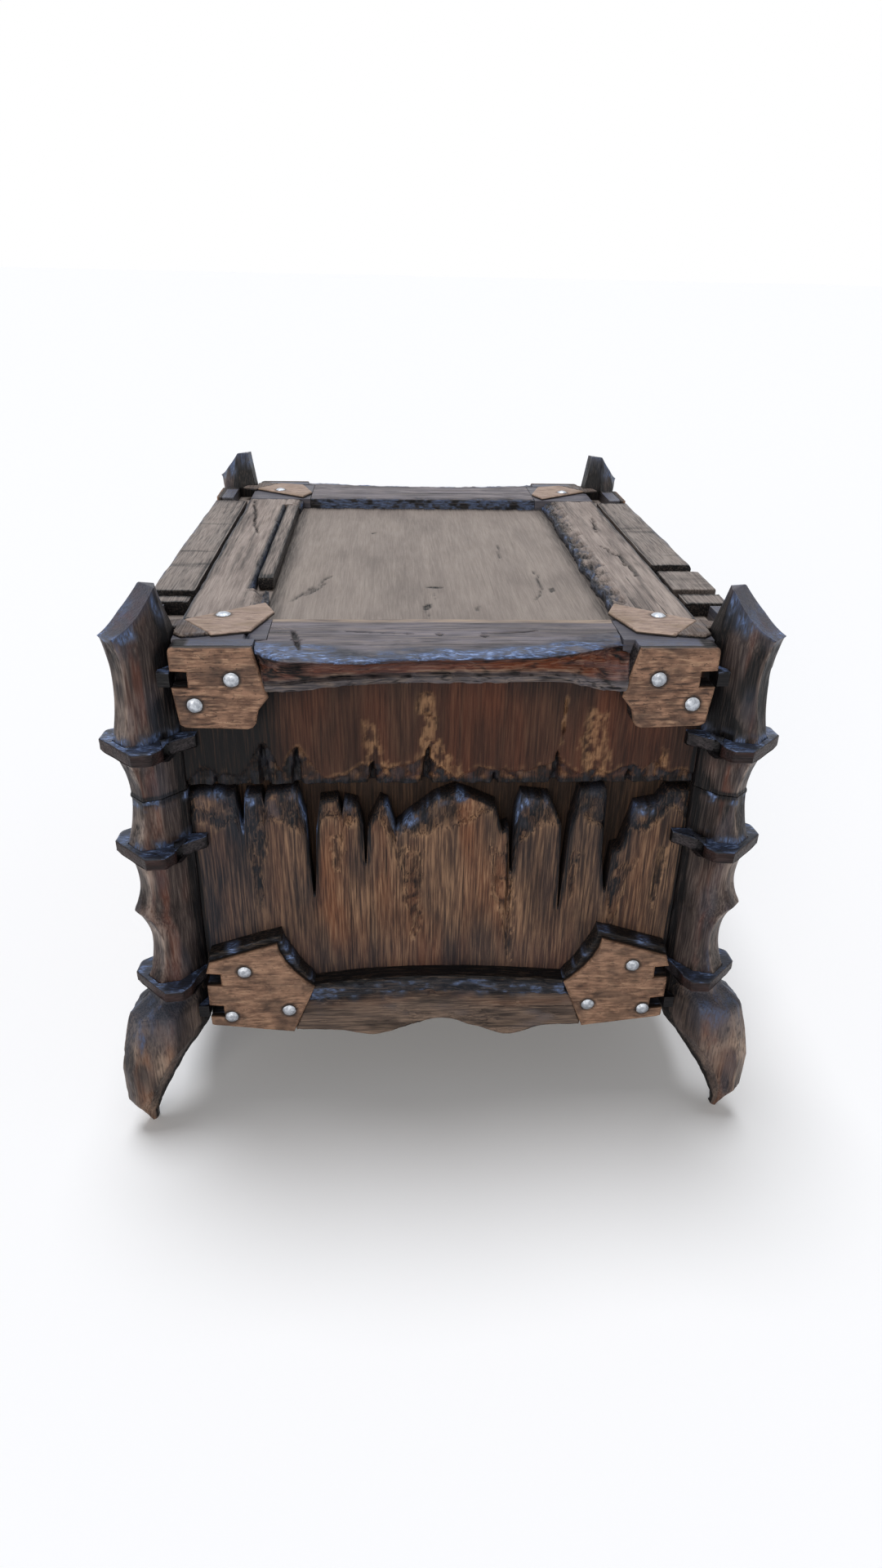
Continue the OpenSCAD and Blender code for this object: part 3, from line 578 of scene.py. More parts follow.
# Wooden finishes: directions of grain in use, pale, mid, deep and rusty colour, how far ridges, hollows and
# checks show, and roughness
FINISHES = {
    "panel": ("Z", "#b08b6b", "#6a5040", "#221d1f", "#744830", 0.50, 0.70, 0.7, 0.60),
    "lid_panel": ("Z", "#9a7656", "#472e23", "#190f0c", "#5d3220", 0.12, 0.48, 0.5, 0.56),
    "liner": ("Z", "#5e4430", "#2f2119", "#110c09", "#3f2718", 0.4, 0.5, 0.3, 0.70),
    "rail": ("XY", "#9a826f", "#66564c", "#302928", "#6d4a35", 0.50, 0.55, 0.7, 0.54),
    "beam": ("XY", "#ab9682", "#7a747a", "#3a3637", "#6b300e", 0.35, 0.52, 0.5, 0.50),
    "post": ("Z", "#a08f84", "#473c39", "#1c1718", "#5a3325", 0.24, 0.40, 0.5, 0.43),
    "claw": ("Z", "#a8917f", "#5e524d", "#292325", "#74503c", 0.26, 0.45, 0.6, 0.46),
    "collar": ("XY", "#6b6264", "#2b2629", "#0f0e10", "#45261d", 0.2, 0.45, 0.4, 0.38),
    "top": ("Y", "#b4a397", "#9d8f86", "#675b55", "#8a6c57", 0.45, 0.45, 0.8, 0.54),
    "field": ("Y", "#9f9286", "#92867d", "#786d66", "#86705c", 0.35, 0.25, 0.15, 0.56),
    "side_rail": ("Y", "#a0948a", "#7c7069", "#3d3838", "#6b4d3c", 0.4, 0.5, 0.5, 0.52),
}


def woods():
    """Every wooden finish, by name and direction of its grain."""
    return {
        (kind, axis): scorched_wood(f"scorched_{kind}_wood_{axis.lower()}", axis, *rest)
        for kind, (axes, *rest) in FINISHES.items() for axis in axes
    }


# ---- Panels ------------------------------------------------------------------------------------------

# Torn tops of the base panels, as (percent of the half width, drop below the parting line in mm)
FRONT_SPLINTERS = [
    (-100, 3), (-82.6, 3), (-80.6, 17), (-79.8, 17), (-78.6, 4), (-72.2, 3.5), (-71.3, 8), (-70.4, 4),
    (-69, 2.8), (-58, 2), (-55, 14.5), (-53.4, 51), (-52.4, 51), (-50.8, 19), (-49.2, 7.5), (-42, 6.5),
    (-40.5, 13), (-39.4, 7.5), (-34.2, 9), (-32, 19), (-31.6, 35.4), (-30.8, 35.4), (-30.2, 19),
    (-25, 7.5), (-22, 9), (-18.8, 20), (-14.6, 15.8), (-3.3, 6.4), (5, 2.8), (11, 5), (21.5, 10),
    (24.6, 21.5), (27.2, 20), (28.3, 40.5), (29.3, 40.5), (29.5, 14.6), (31.8, 5), (43.2, 6.4),
    (49, 19.3), (50, 59.4), (50.6, 59.4), (52.5, 19.3), (55.6, 2.8), (65.5, 2), (66.3, 3), (66.9, 30.7),
    (69, 51), (70.2, 51), (71.3, 32.3), (74.7, 30.7), (79.1, 11.3), (88, 9.4), (91.4, 3.2), (100, 3),
]
REAR_SPLINTERS = [
    (-100, 1), (-82, 3), (-72, 9), (-70, 44), (-67, 6), (-52, 2), (-44, 12), (-41, 5), (-24, 3),
    (-16, 16), (-13, 58), (-12, 4), (4, 1), (20, 7), (22, 36), (25, 5), (40, 9), (44, 24), (47, 3),
    (63, 2), (68, 48), (71, 7), (85, 3), (100, 0),
]
LEFT_SPLINTERS = [
    (-100, 1), (-88, 2), (-80, 11), (-78.5, 40), (-77, 4), (-63, 1), (-55, 13), (-52, 6), (-40, 3),
    (-34, 20), (-32, 54), (-31, 5), (-17, 2), (-9, 9), (-6, 28), (-4, 3), (9, 1), (18, 8), (20.5, 46),
    (22, 12), (30, 4), (43, 2), (50, 15), (53, 37), (55, 5), (68, 3), (77, 10), (79, 26), (81, 2), (100, 1),
]
SPLINTERS = {
    "front": FRONT_SPLINTERS,
    "rear": REAR_SPLINTERS,
    "left": LEFT_SPLINTERS,
    "right": [(-x, drop) for x, drop in reversed(LEFT_SPLINTERS)],
}

# Flame-shaped scars of the front, as (along, foot, top, half widths at the foot and the top, lean)
BASE_SCARS = [
    (-75, 98, 140, 0.8, 5.0, 0), (-10, 79, 134, 0.8, 8.0, -6), (31, 70, 134, 1.0, 8.0, -7),
    (74, 84, 124, 1.5, 6.0, 4), (-43, 118, 138, 1.0, 4.0, 0), (57, 104, 128, 1.0, 3.0, 0),
    (92, 96, 130, 1.0, 4.0, 2),
]
LID_SCARS = [
    (-22, 157, 190, 7.0, 2.5, -9), (-1, 157, 181, 12.0, 4.5, -2), (-4, 180, 190, 3.0, 2.6, -2),
    (-7.7, 190, 200, 3.6, 3.6, 0), (59, 157, 192, 6.5, 5.0, 2), (47.5, 176, 199, 0.9, 0.8, 0),
    (88, 158, 176, 4.0, 1.5, 0),
]
# Cracks up from the lid's lower rim, as (along, top, lean)
LID_CRACKS = [
    (-71, 179, 0), (-58, 177, 0), (-28, 171.5, 0), (-6.4, 178, 0), (20, 166, 0), (45, 176, 0), (75, 167, 0),
    (-90, 165, 0),
]
# Which way the front's pattern runs on each side
MIRRORED = {"front": 1, "rear": -1, "left": -1, "right": 1}


def for_side(side, places):
    """Places of the front drawn on another side, stretched to its width."""
    stretch = MIRRORED[side] * HALF[side] / HALF["front"]
    return [(x * stretch, *sizes, lean * stretch) for x, *sizes, lean in places]


def scars(q, places, seed):
    """1 inside each scar, 0 outside: flames that fade out in specks, most of all towards their tips."""
    ragged = rough(q, (2.6, 6, 9), 3, seed)
    specks = rough(q, (1.1, 2.2, 9), 2, seed + 4)
    wander = 2.6 * rough(q, (60, 12, 9), 2, seed + 1)
    deep = np.zeros(len(q))
    for x, foot, top, at_foot, at_top, lean in places:
        share = np.clip((q[:, 1] - foot) / (top - foot), 0, 1)
        width = at_foot + (at_top - at_foot) * share
        ends = np.minimum(q[:, 1] - foot, top - q[:, 1]) / (0.22 * (top - foot))
        across = 1 - abs(q[:, 0] - x - lean * share - wander) / width
        inside = np.minimum(across, ends) + 0.5 * ragged + 0.35 * specks
        deep = np.maximum(deep, ramp(inside, 0.0, 0.7))
    return deep


def brushed(q, seed):
    """How deep the wire brush went: narrow grooves along the grain on a slow swell, 0 to about 1."""
    grooves = rough(q, (1.7, 30, 9), 3, seed)
    swell = rough(q, (8, 55, 9), 2, seed + 3)
    return np.clip(0.5 + 0.55 * grooves + 0.45 * swell, 0, 1.3)


def hacked(q, size, seed):
    """Facets of hacked wood, 0 to 1, with creases between them."""
    first = abs(rough(q, size, 2, seed))
    second = abs(rough(q, np.array(size) * 0.45, 2, seed + 1))
    return np.clip(1.7 * first + 0.5 * second, 0, 1)


def post_joint_shade(along_side, half):
    """Painted shade in a panel's joint with a post: 1 where the panel ends there, 0 away from it."""
    return ramp(half - abs(along_side), 2.2, 1.0)


def base_panel(side, wood):
    """Upright board with a torn top, hacked and charred along its tears."""
    half = HALF[side]
    seed = seed_of("base_panel", side)
    knots = rising([(x / 100 * half, PARTING_Z - drop) for x, drop in SPLINTERS[side]])
    torn_top = between(knots)
    shape = board(knots, straight(CASE_Z), torn_top, step=0.95, rows=100, walls=3)
    a, b, back = shape.a, shape.b, shape.depth
    q = xyz(a, b)
    line = xyz(a)
    away, drop, below_tip = far_from(a, b, knots), PARTING_Z - b, torn_top(a) - b
    ragged = rough(q, (3, 9, 9), 3, seed + 1)
    rough_skin = rough(q, (1.6, 3.5, 9), 3, seed + 10)
    cloud = rough(q, (14, 40, 9), 3, seed + 5)
    lobes = rough(line, (13, 9, 9), 2, seed + 8)
    facets = hacked(q, (6.0, 8, 9), seed + 9)
    scar = scars(q, for_side(side, BASE_SCARS), seed + 2)

    # The torn zone follows the splinters down to a ragged lip
    reach = 19 + 17 * lobes + 3 * ragged
    torn = ramp(reach - drop, 0, 2.5) * ramp(17 - away, 0, 8)
    lip = ramp(abs(reach - drop - 0.6), 2.2, 0.3) * ramp(17 - away, 0, 8) * ramp(drop, 5, 9)
    fall = 0.7 * brushed(q, seed) * (1 - 0.6 * torn) + scar * (0.3 + 1.2 * facets)
    fall = fall + torn * (0.4 + 2.4 * facets) + rounding(away, 1.5)
    shape.p = on_side(side, a, -back * PANEL_T - (1 - back) * fall, b)

    # Char gathers on the torn edges; the walls of the gaps and the joints with the posts are blacked as
    # painted shade; the panel darkens towards the left and the foot; the crowns get a painted sheen
    edge = 1 - ramp(away, 0.6, 2.6 + 2.0 * ragged)
    halo = ramp(12 - away, 0, 9) * ramp(cloud, -0.4, 0.2)
    crown = ramp(5.5 + 6 * lobes - below_tip, 0, 3) * ramp(lobes, -0.25, 0.15) * ramp(26 - drop, 0, 6)
    outer = ramp(abs(a) / half, 0.45, 0.85)
    left = ramp(-a * MIRRORED[side] / half, 0.45, 0.95)
    joint = post_joint_shade(a, half)
    hollows = [edge, 0.95 * back, 0.6 * torn * ramp(facets, 0.85, 0.2), 0.65 * scar * ramp(facets, 0.7, 0.2)]
    shape.mark(
        char=np.maximum.reduce(hollows) + 0.50 * ramp(cloud, 0.0, 0.5) * (0.35 + 0.65 * left) + 0.40 * halo
        + 0.58 * left * ramp(cloud, -0.5, 0.1) + joint + 0.40 * ramp(b, 108, 62) * ramp(cloud, -0.5, 0.2),
        rub=3.0 * scar * (1 - scar) * ramp(rough_skin, -0.4, 0.2) + 0.65 * lip * ramp(ragged, -0.4, 0.2)
        + 0.50 * torn * ramp(facets, 0.4, 0.9) * ramp(rough_skin, -0.3, 0.3) * (1 - edge),
        rust=0.7 * ramp(rough(q, (11, 60, 9), 2, seed + 6), -0.3, 0.4) * (1 - 0.6 * outer),
        glint=(1.3 * crown * ramp(ragged, -0.2, 0.25) * ramp(rough_skin, -0.5, 0.05)
               + 0.06 * halo + 0.14 * ramp(b, 100, 62) + 0.14 * left
               + 0.25 * torn * ramp(rough(q, (6, 7, 9), 2, seed + 12), 0.1, 0.5)) * (1 - back) * (1 - joint),
    )
    return finish_piece(f"base_panel_{side}_torn", "base", wood, [shape],
                        [f"base_panel_{side}"])


def rim_cracks(side, a, b, seed):
    """Cracks up from the lower rim of a lid panel: how far each point lies in one, and how far the rim is
    torn up beside them, in mm."""
    crack, torn_up = np.zeros(len(a)), np.zeros(len(a))
    q = xyz(a, b)
    for x, top, lean in for_side(side, LID_CRACKS):
        wander = x + lean + 0.9 * rough(q, (500, 6, 9), 2, seed + int(abs(x)))
        narrow = 0.3 + 1.3 * ramp(top - b, 0, 14)
        crack = np.maximum(crack, ramp(narrow - abs(a - wander), -0.5, 0.3) * ramp(top - b, 0, 4))
        torn_up = np.maximum(torn_up, (top - LID_Z) * ramp(11 - abs(a - x), 0, 11))
    return crack, torn_up


def lid_panel(side, wood):
    """Upright board above the parting line, its lower rim hacked and cracked."""
    half = HALF[side]
    seed = seed_of("lid_panel", side)
    shape = board([(-half, 0), (half, 0)], straight(LID_Z), straight(BOARD_Z), step=0.85, rows=60)
    a, b, back = shape.a, shape.b, shape.depth
    q = xyz(a, b)
    scar = scars(q, for_side(side, LID_SCARS), seed + 2)
    crack, torn_up = rim_cracks(side, a, b, seed)
    rim = b - LID_Z
    ragged = rough(q, (3, 4, 9), 3, seed + 1)
    rough_skin = rough(q, (1.5, 3.5, 9), 3, seed + 10)
    lobes = abs(rough(xyz(a), (12, 9, 9), 2, seed + 4))
    facets = hacked(q, (5.5, 5.5, 9), seed + 9)
    reach = 3.5 + 9 * lobes + 0.45 * torn_up + 1.6 * ragged
    torn = ramp(reach - rim, 0, 1.6)
    lip = ramp(abs(reach - rim), 1.6, 0.2)
    fall = 0.5 * brushed(q, seed) * (1 - 0.5 * torn) + scar * (0.4 + 1.2 * facets) + 3.2 * crack
    fall += torn * (0.7 + 1.8 * facets) + rounding(rim, 1.4)
    shape.p = on_side(side, a, -back * PANEL_T - (1 - back) * fall, b)

    patches = rough(q, (16, 40, 9), 2, seed + 5)
    left = ramp(a * MIRRORED[side] / half, -0.35, -0.75)
    ends = ramp(abs(a) / half, 0.55, 0.8)
    shaded = ramp(BOARD_Z - b, 16, 6)
    # sooty is soot patches, darker towards the left and the ends, with painted shadow under the beam at the
    # top
    sooty = 0.25 * ramp(patches, -0.1, 0.4) + 0.55 * left + 0.35 * ends + 0.35 * shaded
    pale_scar = 1.4 * scar * (1 - scar) + 0.70 * scar * ramp(rough_skin, -0.4, 0.2)
    # The lower rim is blacked as painted shade in the parting line, joints with the posts as painted shade;
    # painted sheen in the torn zone
    shape.mark(
        char=crack + sooty * (1 - scar) + 0.65 * torn * ramp(facets, 0.8, 0.2)
        + 0.45 * scar * ramp(rough_skin, 0.1, -0.3) + ramp(rim, 3.2, 1.2) + 0.5 * back + post_joint_shade(a, half),
        rub=(pale_scar * (1 - 0.5 * torn) + 0.40 * torn * ramp(facets, 0.45, 0.9)
             + 0.45 * lip * ramp(ragged, -0.2, 0.3)) * (1 - crack),
        rust=0.8 * ramp(rough(q, (14, 70, 9), 2, seed + 6), -0.4, 0.4) * (1 - left),
        glint=0.12 * torn * ramp(rough_skin, 0.1, -0.4),
    )
    return finish_piece(f"lid_panel_{side}_scorched", "lid", wood, [shape],
                        [f"lid_panel_{side}"])


# ---- Posts, horns and feet ---------------------------------------------------------------------------

# Section of a post: where its face meets the panel, and the width of its chamfer. Its reach past the panels
# at its flares, waists, thorn and horn
HEEL = 10.6
CHAMFER = 6.0
POST_FLARE, POST_WAIST, THORN_OUT, HORN_OUT = 14.0, 11.0, 15.5, 15.0


def bay(t, ends, waist):
    """Reach of a concave bay between two flares."""
    return waist + (ends - waist) * (2 * t - 1) ** 2


def post_reach(z):
    """How far a base post stands out from the corner of the panels at a height."""
    lower = (z - LOW_COLLAR_TOP) / (THORN_Z - LOW_COLLAR_TOP)
    upper = (z - THORN_Z) / (MID_COLLAR_Z - THORN_Z)
    neck = (z - MID_COLLAR_TOP) / (PARTING_Z - MID_COLLAR_TOP) * 0.45
    low_bay = bay(lower, np.where(lower < 0.5, POST_FLARE, THORN_OUT), POST_WAIST)
    high_bay = bay(upper, np.where(upper < 0.5, THORN_OUT, POST_FLARE), POST_WAIST + 1.5)
    out = np.where(z < LOW_COLLAR_TOP, POST_FLARE, low_bay)
    out = np.where(z > THORN_Z, high_bay, out)
    out = np.where(z > MID_COLLAR_Z, POST_FLARE, out)
    return PANEL_T + np.where(z > MID_COLLAR_TOP, bay(neck, POST_FLARE, POST_WAIST), out)


def horn_reach(z):
    """The same for the post of the lid, up into its horn."""
    neck = 0.5 + (z - LID_Z) / (LID_COLLAR_Z - LID_Z) / 2
    upper = np.clip((z - LID_COLLAR_TOP) / (LID_TOP_Z - LID_COLLAR_TOP) * 0.8, 0, 1)
    out = np.where(z < LID_COLLAR_Z, bay(neck, POST_FLARE, POST_WAIST), POST_FLARE)
    rise = bay(upper, np.where(upper < 0.5, POST_FLARE, HORN_OUT), POST_WAIST + 0.5)
    return PANEL_T + np.where(z > LID_COLLAR_TOP, rise, out)


def post_section(root, heel, brow, tip):
    """Paths of a post's section: through its root, over its chamfer and along its two faces."""
    bottom = [(0, heel[0], heel[1]), (0.5, root, root), (1, heel[1], heel[0])]
    top = [(0, tip[0], tip[1]), (1, tip[1], tip[0])]
    left = [(0, heel[0], heel[1]), (0.55, brow[0], brow[1]), (1, tip[0], tip[1])]
    right = [(s, b, a) for s, a, b in left]
    return bottom, top, left, right


def plain_section(reach):
    """Section of a post whose root is the corner of the panels."""
    heel = (0 * reach, HEEL + 0 * reach)
    return post_section(0 * reach, heel, (0.4 * reach, reach - 2), (reach - CHAMFER, reach))


def weather_post(shape, seed, depth=0.4, soot=0.7):
    """Cuts the brush's grooves into a post, keeps its edges a little rounded, and marks its faces."""
    q, u, v = shape.p, shape.u, shape.v
    grooves = rough(q, (3.2, 3.2, 30), 3, seed)
    bites = ramp(rough(q, (4.5, 4.5, 9), 3, seed + 1), 0.25, 0.7)
    outer = ramp(v, 0.97, 1.0)
    corner = ramp(abs(u - 0.5), 0.40, 0.5) * outer
    ends = ramp(abs(shape.w - 0.5), 0.49, 0.5)
    shape.push(-(1 - ends) * (depth * np.clip(0.5 + grooves, 0, 1) + 0.9 * bites * depth + 0.35 * corner))
    face = v * (1 - outer)
    tan = ramp(rough(q, (9, 9, 26), 3, seed + 2), 0.0, 0.45)
    patches = ramp(rough(q, (12, 12, 24), 2, seed + 3), -0.15, 0.4)
    chipped = ramp(rough(q, (6, 6, 16), 3, seed + 4), -0.3, 0.3)
    sheen_noise = ramp(rough(q, (8, 8, 30), 2, seed + 5), -0.1, 0.4)
    streaks = rough(q, (3, 3, 30), 3, seed + 6)
    crest = ramp(abs(u - 0.5), 0.34, 0.46) * ramp(v, 0.80, 0.98)
    # Darker towards the panels as painted shade where the post meets them; painted sheen on the faces and
    # edges
    shape.mark(
        char=soot * patches * (1 - 0.7 * crest) + ramp(v, 0.24, 0.12) + 0.4 * bites,
        rub=(0.8 * outer + 0.5 * crest) * chipped + 0.45 * tan * face,
        rust=0.8 * ramp(v, 0.5, 0.62) * (1 - outer) * ramp(streaks, -0.3, 0.3) + 0.4 * tan,
        glint=(0.22 * sheen_noise * ramp(v, 0.2, 0.5)
               + 0.5 * ramp(abs(v - 0.93), 0.06, 0.0) * ramp(streaks, 0.1, 0.5)) * (1 - outer)
        + 0.15 * outer * ramp(streaks, 0.0, 0.4),
    )


def sheen_patches(shape):
    """Rough patches, from -1 to 1, where the posts of all corners alike get painted sheen."""
    return rough(shape.p, (4, 4, 4), 3, seed_of("wear"))


def base_post(corner, wood):
    """Post of the base, from the low collar to the parting line, with painted sheen where it stands on its
    collar and near its top.
    """
    low, high = levels(f"post_{corner}")
    rise = high - low
    shape = loft((10, 22, 88), lambda w: plain_section(post_reach(low + w * rise)))
    z = low + shape.w * rise
    shape.p = on_corner(corner, shape.a, shape.b, z)
    weather_post(shape, seed_of("post", corner))
    wear = sheen_patches(shape)
    on_collar = ramp(z - MID_COLLAR_TOP, 4.5, 0.5) * ramp(z - MID_COLLAR_TOP, -0.5, 0.0)
    at_top = ramp(shape.w, 0.94, 0.97) * ramp(wear, 0.0, 0.3)
    sheen_spots = (0.8 * on_collar + 0.9 * at_top) * ramp(wear, -0.3, 0.2)
    # Painted shade at the parting line, and painted sheen
    shape.mark(char=ramp(shape.w, 0.968, 0.99), glint=sheen_spots)
    return finish_piece(f"post_{corner}_carved", "base", wood, [shape], [f"post_{corner}"])


def horn(corner, wood):
    """Post of the lid, ending in a horn with a hollow, sloping top."""
    seed = seed_of("horn", corner)
    tip_z = LID_TOP_Z + 3.7
    tip = PANEL_T + HORN_OUT
    shoulder = (LID_TOP_Z - 0.3 - LID_Z) / (tip_z - LID_Z)

    def section(w):
        """Its section at shares w of its length."""
        reach = horn_reach(LID_Z + w * (tip_z - LID_Z))
        t = np.clip((w - shoulder) / (1 - shoulder), 0, 1)
        brow = (0.4 * reach * (1 - t) + 9 * t, (reach - 2) * (1 - t) + (tip - 7.6) * t)
        return post_section(4.5 * t, (3.2 * t, HEEL - 0.4 * t), brow, (reach - CHAMFER, reach))

    shape = loft((12, 26, 64), section)
    slope = np.clip((tip - 3 - (shape.a + shape.b) / 2) / 15, 0, 1)
    hollow = (TOP_Z - tip_z) * slope ** 1.6
    t = np.clip((shape.w - shoulder) / (1 - shoulder), 0, 1)
    z = LID_Z + shape.w * (tip_z - LID_Z) + t * hollow
    shape.p = on_corner(corner, shape.a, shape.b, z)
    weather_post(shape, seed, soot=1.6)
    above, wear = z - LID_COLLAR_TOP, sheen_patches(shape)
    # Painted shade at the parting line below the horn, and painted sheen where it stands on its collar
    shape.mark(char=ramp(shape.w, 0.035, 0.012),
               glint=0.85 * ramp(above, 5, 0.5) * ramp(above, -0.5, 0.0) * ramp(wear, -0.3, 0.2))
    # The top is lighter and cold: less char and rub, a painted sheen, and painted highlights along its rim
    # and border
    cap = ramp(shape.w, 0.985, 1.0)
    rim = ramp(np.maximum(abs(shape.u - 0.5) * 2, abs(shape.v - 0.5) * 2), 0.80, 1.0)
    border = ramp(shape.w, 0.95, 0.985) * ramp(rough(shape.p, (6, 6, 5), 3, seed + 7), -0.2, 0.3) * (1 - cap)
    shape.marks["char"] = shape.marks["char"] * (1 - 0.8 * cap)
    shape.marks["rub"] = shape.marks["rub"] * (1 - cap)
    shape.mark(
        glint=cap * (0.38 + 0.25 * rim * ramp(rough(shape.p, (5, 5, 9), 2, seed + 8), -0.2, 0.3)) + border,
    )
    return finish_piece(f"horn_{corner}_carved", "lid", wood, [shape], [f"horn_{corner}"])


# Sections of a claw from the ground up, in mm: height, root, and both places of the heel, brow and tip
CLAW = [
    (0, 26, 26.2, 28.6, 26.8, 29.6, 28, 30.2),
    (5.75, 25.6, 25.4, 29.4, 28, 31, 29.5, 32.5),
    (15.3, 22.5, 21.4, 28.4, 26, 34.5, 32, 37),
    (23.9, 17.5, 16.5, 25, 23, 35.5, 31.5, 37.5),
    (33.1, 11, 10, 19.5, 18.5, 35, 31.5, 37.5),
    (40, 4, 3, 12.6, 14, 34, 30.5, 36.5),
    (46, 0, 0, 10.6, 13, 33, 29.5, 35.5),
    (58.5, 0, 0, 10.6, 12, 30.5, 26, 32.5),
    (63, 0, 0, 10.6, 10.2, 23, 19.5, 25.5),
    (67, 0, 0, 10.6, 9.6, 22, 18, 24),
]


def claw(corner, wood):
    """Foot that hangs from the low collar, knees outwards and curls in to the ground."""
    heights, *ways = np.array(CLAW, float).T
    knee = KNEE - 0.05

    def section(w):
        """Its section at shares w of its length."""
        at_z = (np.interp(w * heights[-1], heights, way) for way in ways)
        root, heel_a, heel_b, brow_a, brow_b, tip_a, tip_b = at_z
        brow, tip = (brow_a, np.minimum(brow_b, knee)), (tip_a, np.minimum(tip_b, knee))
        return post_section(root, (heel_a, heel_b), brow, tip)

    shape = loft((12, 24, 72), section)
    z = shape.w * heights[-1]
    shape.p = on_corner(corner, shape.a, shape.b, z)
    seed = seed_of("claw", corner)
    weather_post(shape, seed, depth=0.6)
    patch = ramp(rough(shape.p, (7, 7, 12), 3, seed + 9), 0.05, 0.4)
    # Painted sheen on its upper faces
    shape.mark(rub=0.45 * patch * ramp(z, 60, 40), glint=0.35 * ramp(z, 40, 56) * ramp(shape.v, 0.3, 0.6),
               char=0.5 * ramp(abs(z - 60), 5, 2))
    return finish_piece(f"foot_{corner}_carved", "base", wood, [shape], [f"foot_{corner}"])


# ---- Collars and pegs --------------------------------------------------------------------------------

COLLAR_T = LOW_COLLAR_TOP - LOW_COLLAR_Z
# Foot, body and reach over the panels of the collars at each level
COLLARS = {
    "low": (LOW_COLLAR_Z, "base", 0.3),
    "mid": (MID_COLLAR_Z, "base", 6.0),
    "lid": (LID_COLLAR_Z, "lid", 6.0),
}


def collar_shape(corner, low, strap, seed):
    """One collar: straps on both panels and a lobe at each side of the post's chamfer."""
    reach = PANEL_T + POST_FLARE
    inner = [(0, -strap, PANEL_T), (0.18, 0, HEEL - 0.1), (0.32, 0.4 * reach, reach - 2),
             (0.42, reach - CHAMFER, reach)]
    outer = [(0, -strap, PANEL_T + 2.5), (0.14, 3.6, 19.6), (0.22, 4.2, COLLAR_REACH - 5),
             (0.29, 7.4, COLLAR_REACH - 0.6), (0.38, COLLAR_REACH * 0.49, COLLAR_REACH)]
    inner += [(1 - s, b, a) for s, a, b in reversed(inner)]
    outer += [(1 - s, b, a) for s, a, b in reversed(outer)]
    shape = Shape(brick((9, 7, 84)))
    u, v, w = (shape.p.T + 1) / 2
    near, far = along(inner, w), along(outer, w)
    a, b = (near + u[:, None] * (far - near)).T
    shape.p = on_corner(corner, a, b, low + v * COLLAR_T)
    edge = ramp(abs(v - 0.5), 0.40, 0.5) * ramp(u, 0.85, 1.0)
    wear = rough(shape.p, (4, 4, 3), 3, seed)
    notch = ramp(abs(abs(w - 0.5) - 0.345), 0.030, 0.014) * ramp(u, 0.3, 0.8) * (strap > 1)
    shape.push(-(0.25 + 0.25 * wear + 0.55 * edge + 1.4 * notch) * ramp(u, 0.0, 0.3))
    top, rim = ramp(v, 0.93, 1.0), ramp(u, 0.9, 1.0)
    off_middle = abs(w - 0.5)
    lobe = ramp(off_middle, 0.36, 0.27)
    strap_rim = ramp(off_middle, 0.37, 0.40)
    strap_end = ramp(off_middle, 0.487, 0.497)
    painted_gloss = 0.75 * edge * ramp(v, 0.5, 0.9) * ramp(wear, -0.1, 0.3)
    painted_gloss = painted_gloss + top * (0.40 + 0.75 * ramp(wear, -0.15, 0.3))
    # Painted sheen on the edges and the top; the notch is blacked as painted shade
    shape.mark(
        char=0.55 + 0.35 * wear + notch + 0.4 * top + 0.8 * strap_end,
        rust=0.7 * rim * lobe * (1 - top) * (1 - notch),
        rub=0.6 * rim * strap_rim * ramp(wear, -0.5, 0.2) * (1 - top),
        glint=painted_gloss * (1 - notch),
    )
    return shape


def collars(level, wood):
    """The four collars of one level, as one piece."""
    low, body, strap = COLLARS[level]
    shapes = [collar_shape(corner, low, strap, seed_of("collar", corner)) for corner in CORNERS]
    return finish_piece(f"{level}_collars_carved", body, wood, shapes, [f"{level}_collars"])


def peg_shape(corner, turned, low, brow):
    """Square peg in the notch of a bracket. Its root follows the face of the post, from heel to brow."""
    slope = (brow[1] - HEEL) / brow[0]
    outer, inside = PANEL_T + RAIL_OUT - 0.6, HEEL + 0.2
    shape = Shape(brick((5, 9, 6)))
    u, v, w = (shape.p.T + 1) / 2
    a = -0.3 + 4.6 * u
    start = np.where(u < 0.06, PANEL_T + 0.1, np.minimum(inside + slope * np.maximum(a, 0), outer - 0.6))
    b = start + v * (outer - start)
    a, b = (b, a) if turned else (a, b)
    shape.p = on_corner(corner, a, b, low + 0.3 + w * (NOTCH_H - 0.6))
    seed = seed_of("peg")
    shape.push(-0.15 - 0.15 * rough(shape.p, (2, 2, 2), 2, seed))
    sheen_spots = ramp(rough(shape.p, (3, 3, 3), 2, seed + 4), -0.3, 0.3)
    # Charred all over, with painted sheen on its top
    shape.mark(char=0.95 + 0 * u, glint=0.8 * ramp(w, 0.9, 1.0) * sheen_spots)
    return shape


def pegs(body, low, brow, wood):
    """Two square pegs at each corner, in the notches of the brackets."""
    shapes = [peg_shape(corner, turned, low, brow) for corner in CORNERS for turned in (False, True)]
    return finish_piece(f"{body}_pegs_charred", body, wood, shapes, [f"{body}_pegs"])


# ---- Brackets ----------------------------------------------------------------------------------------

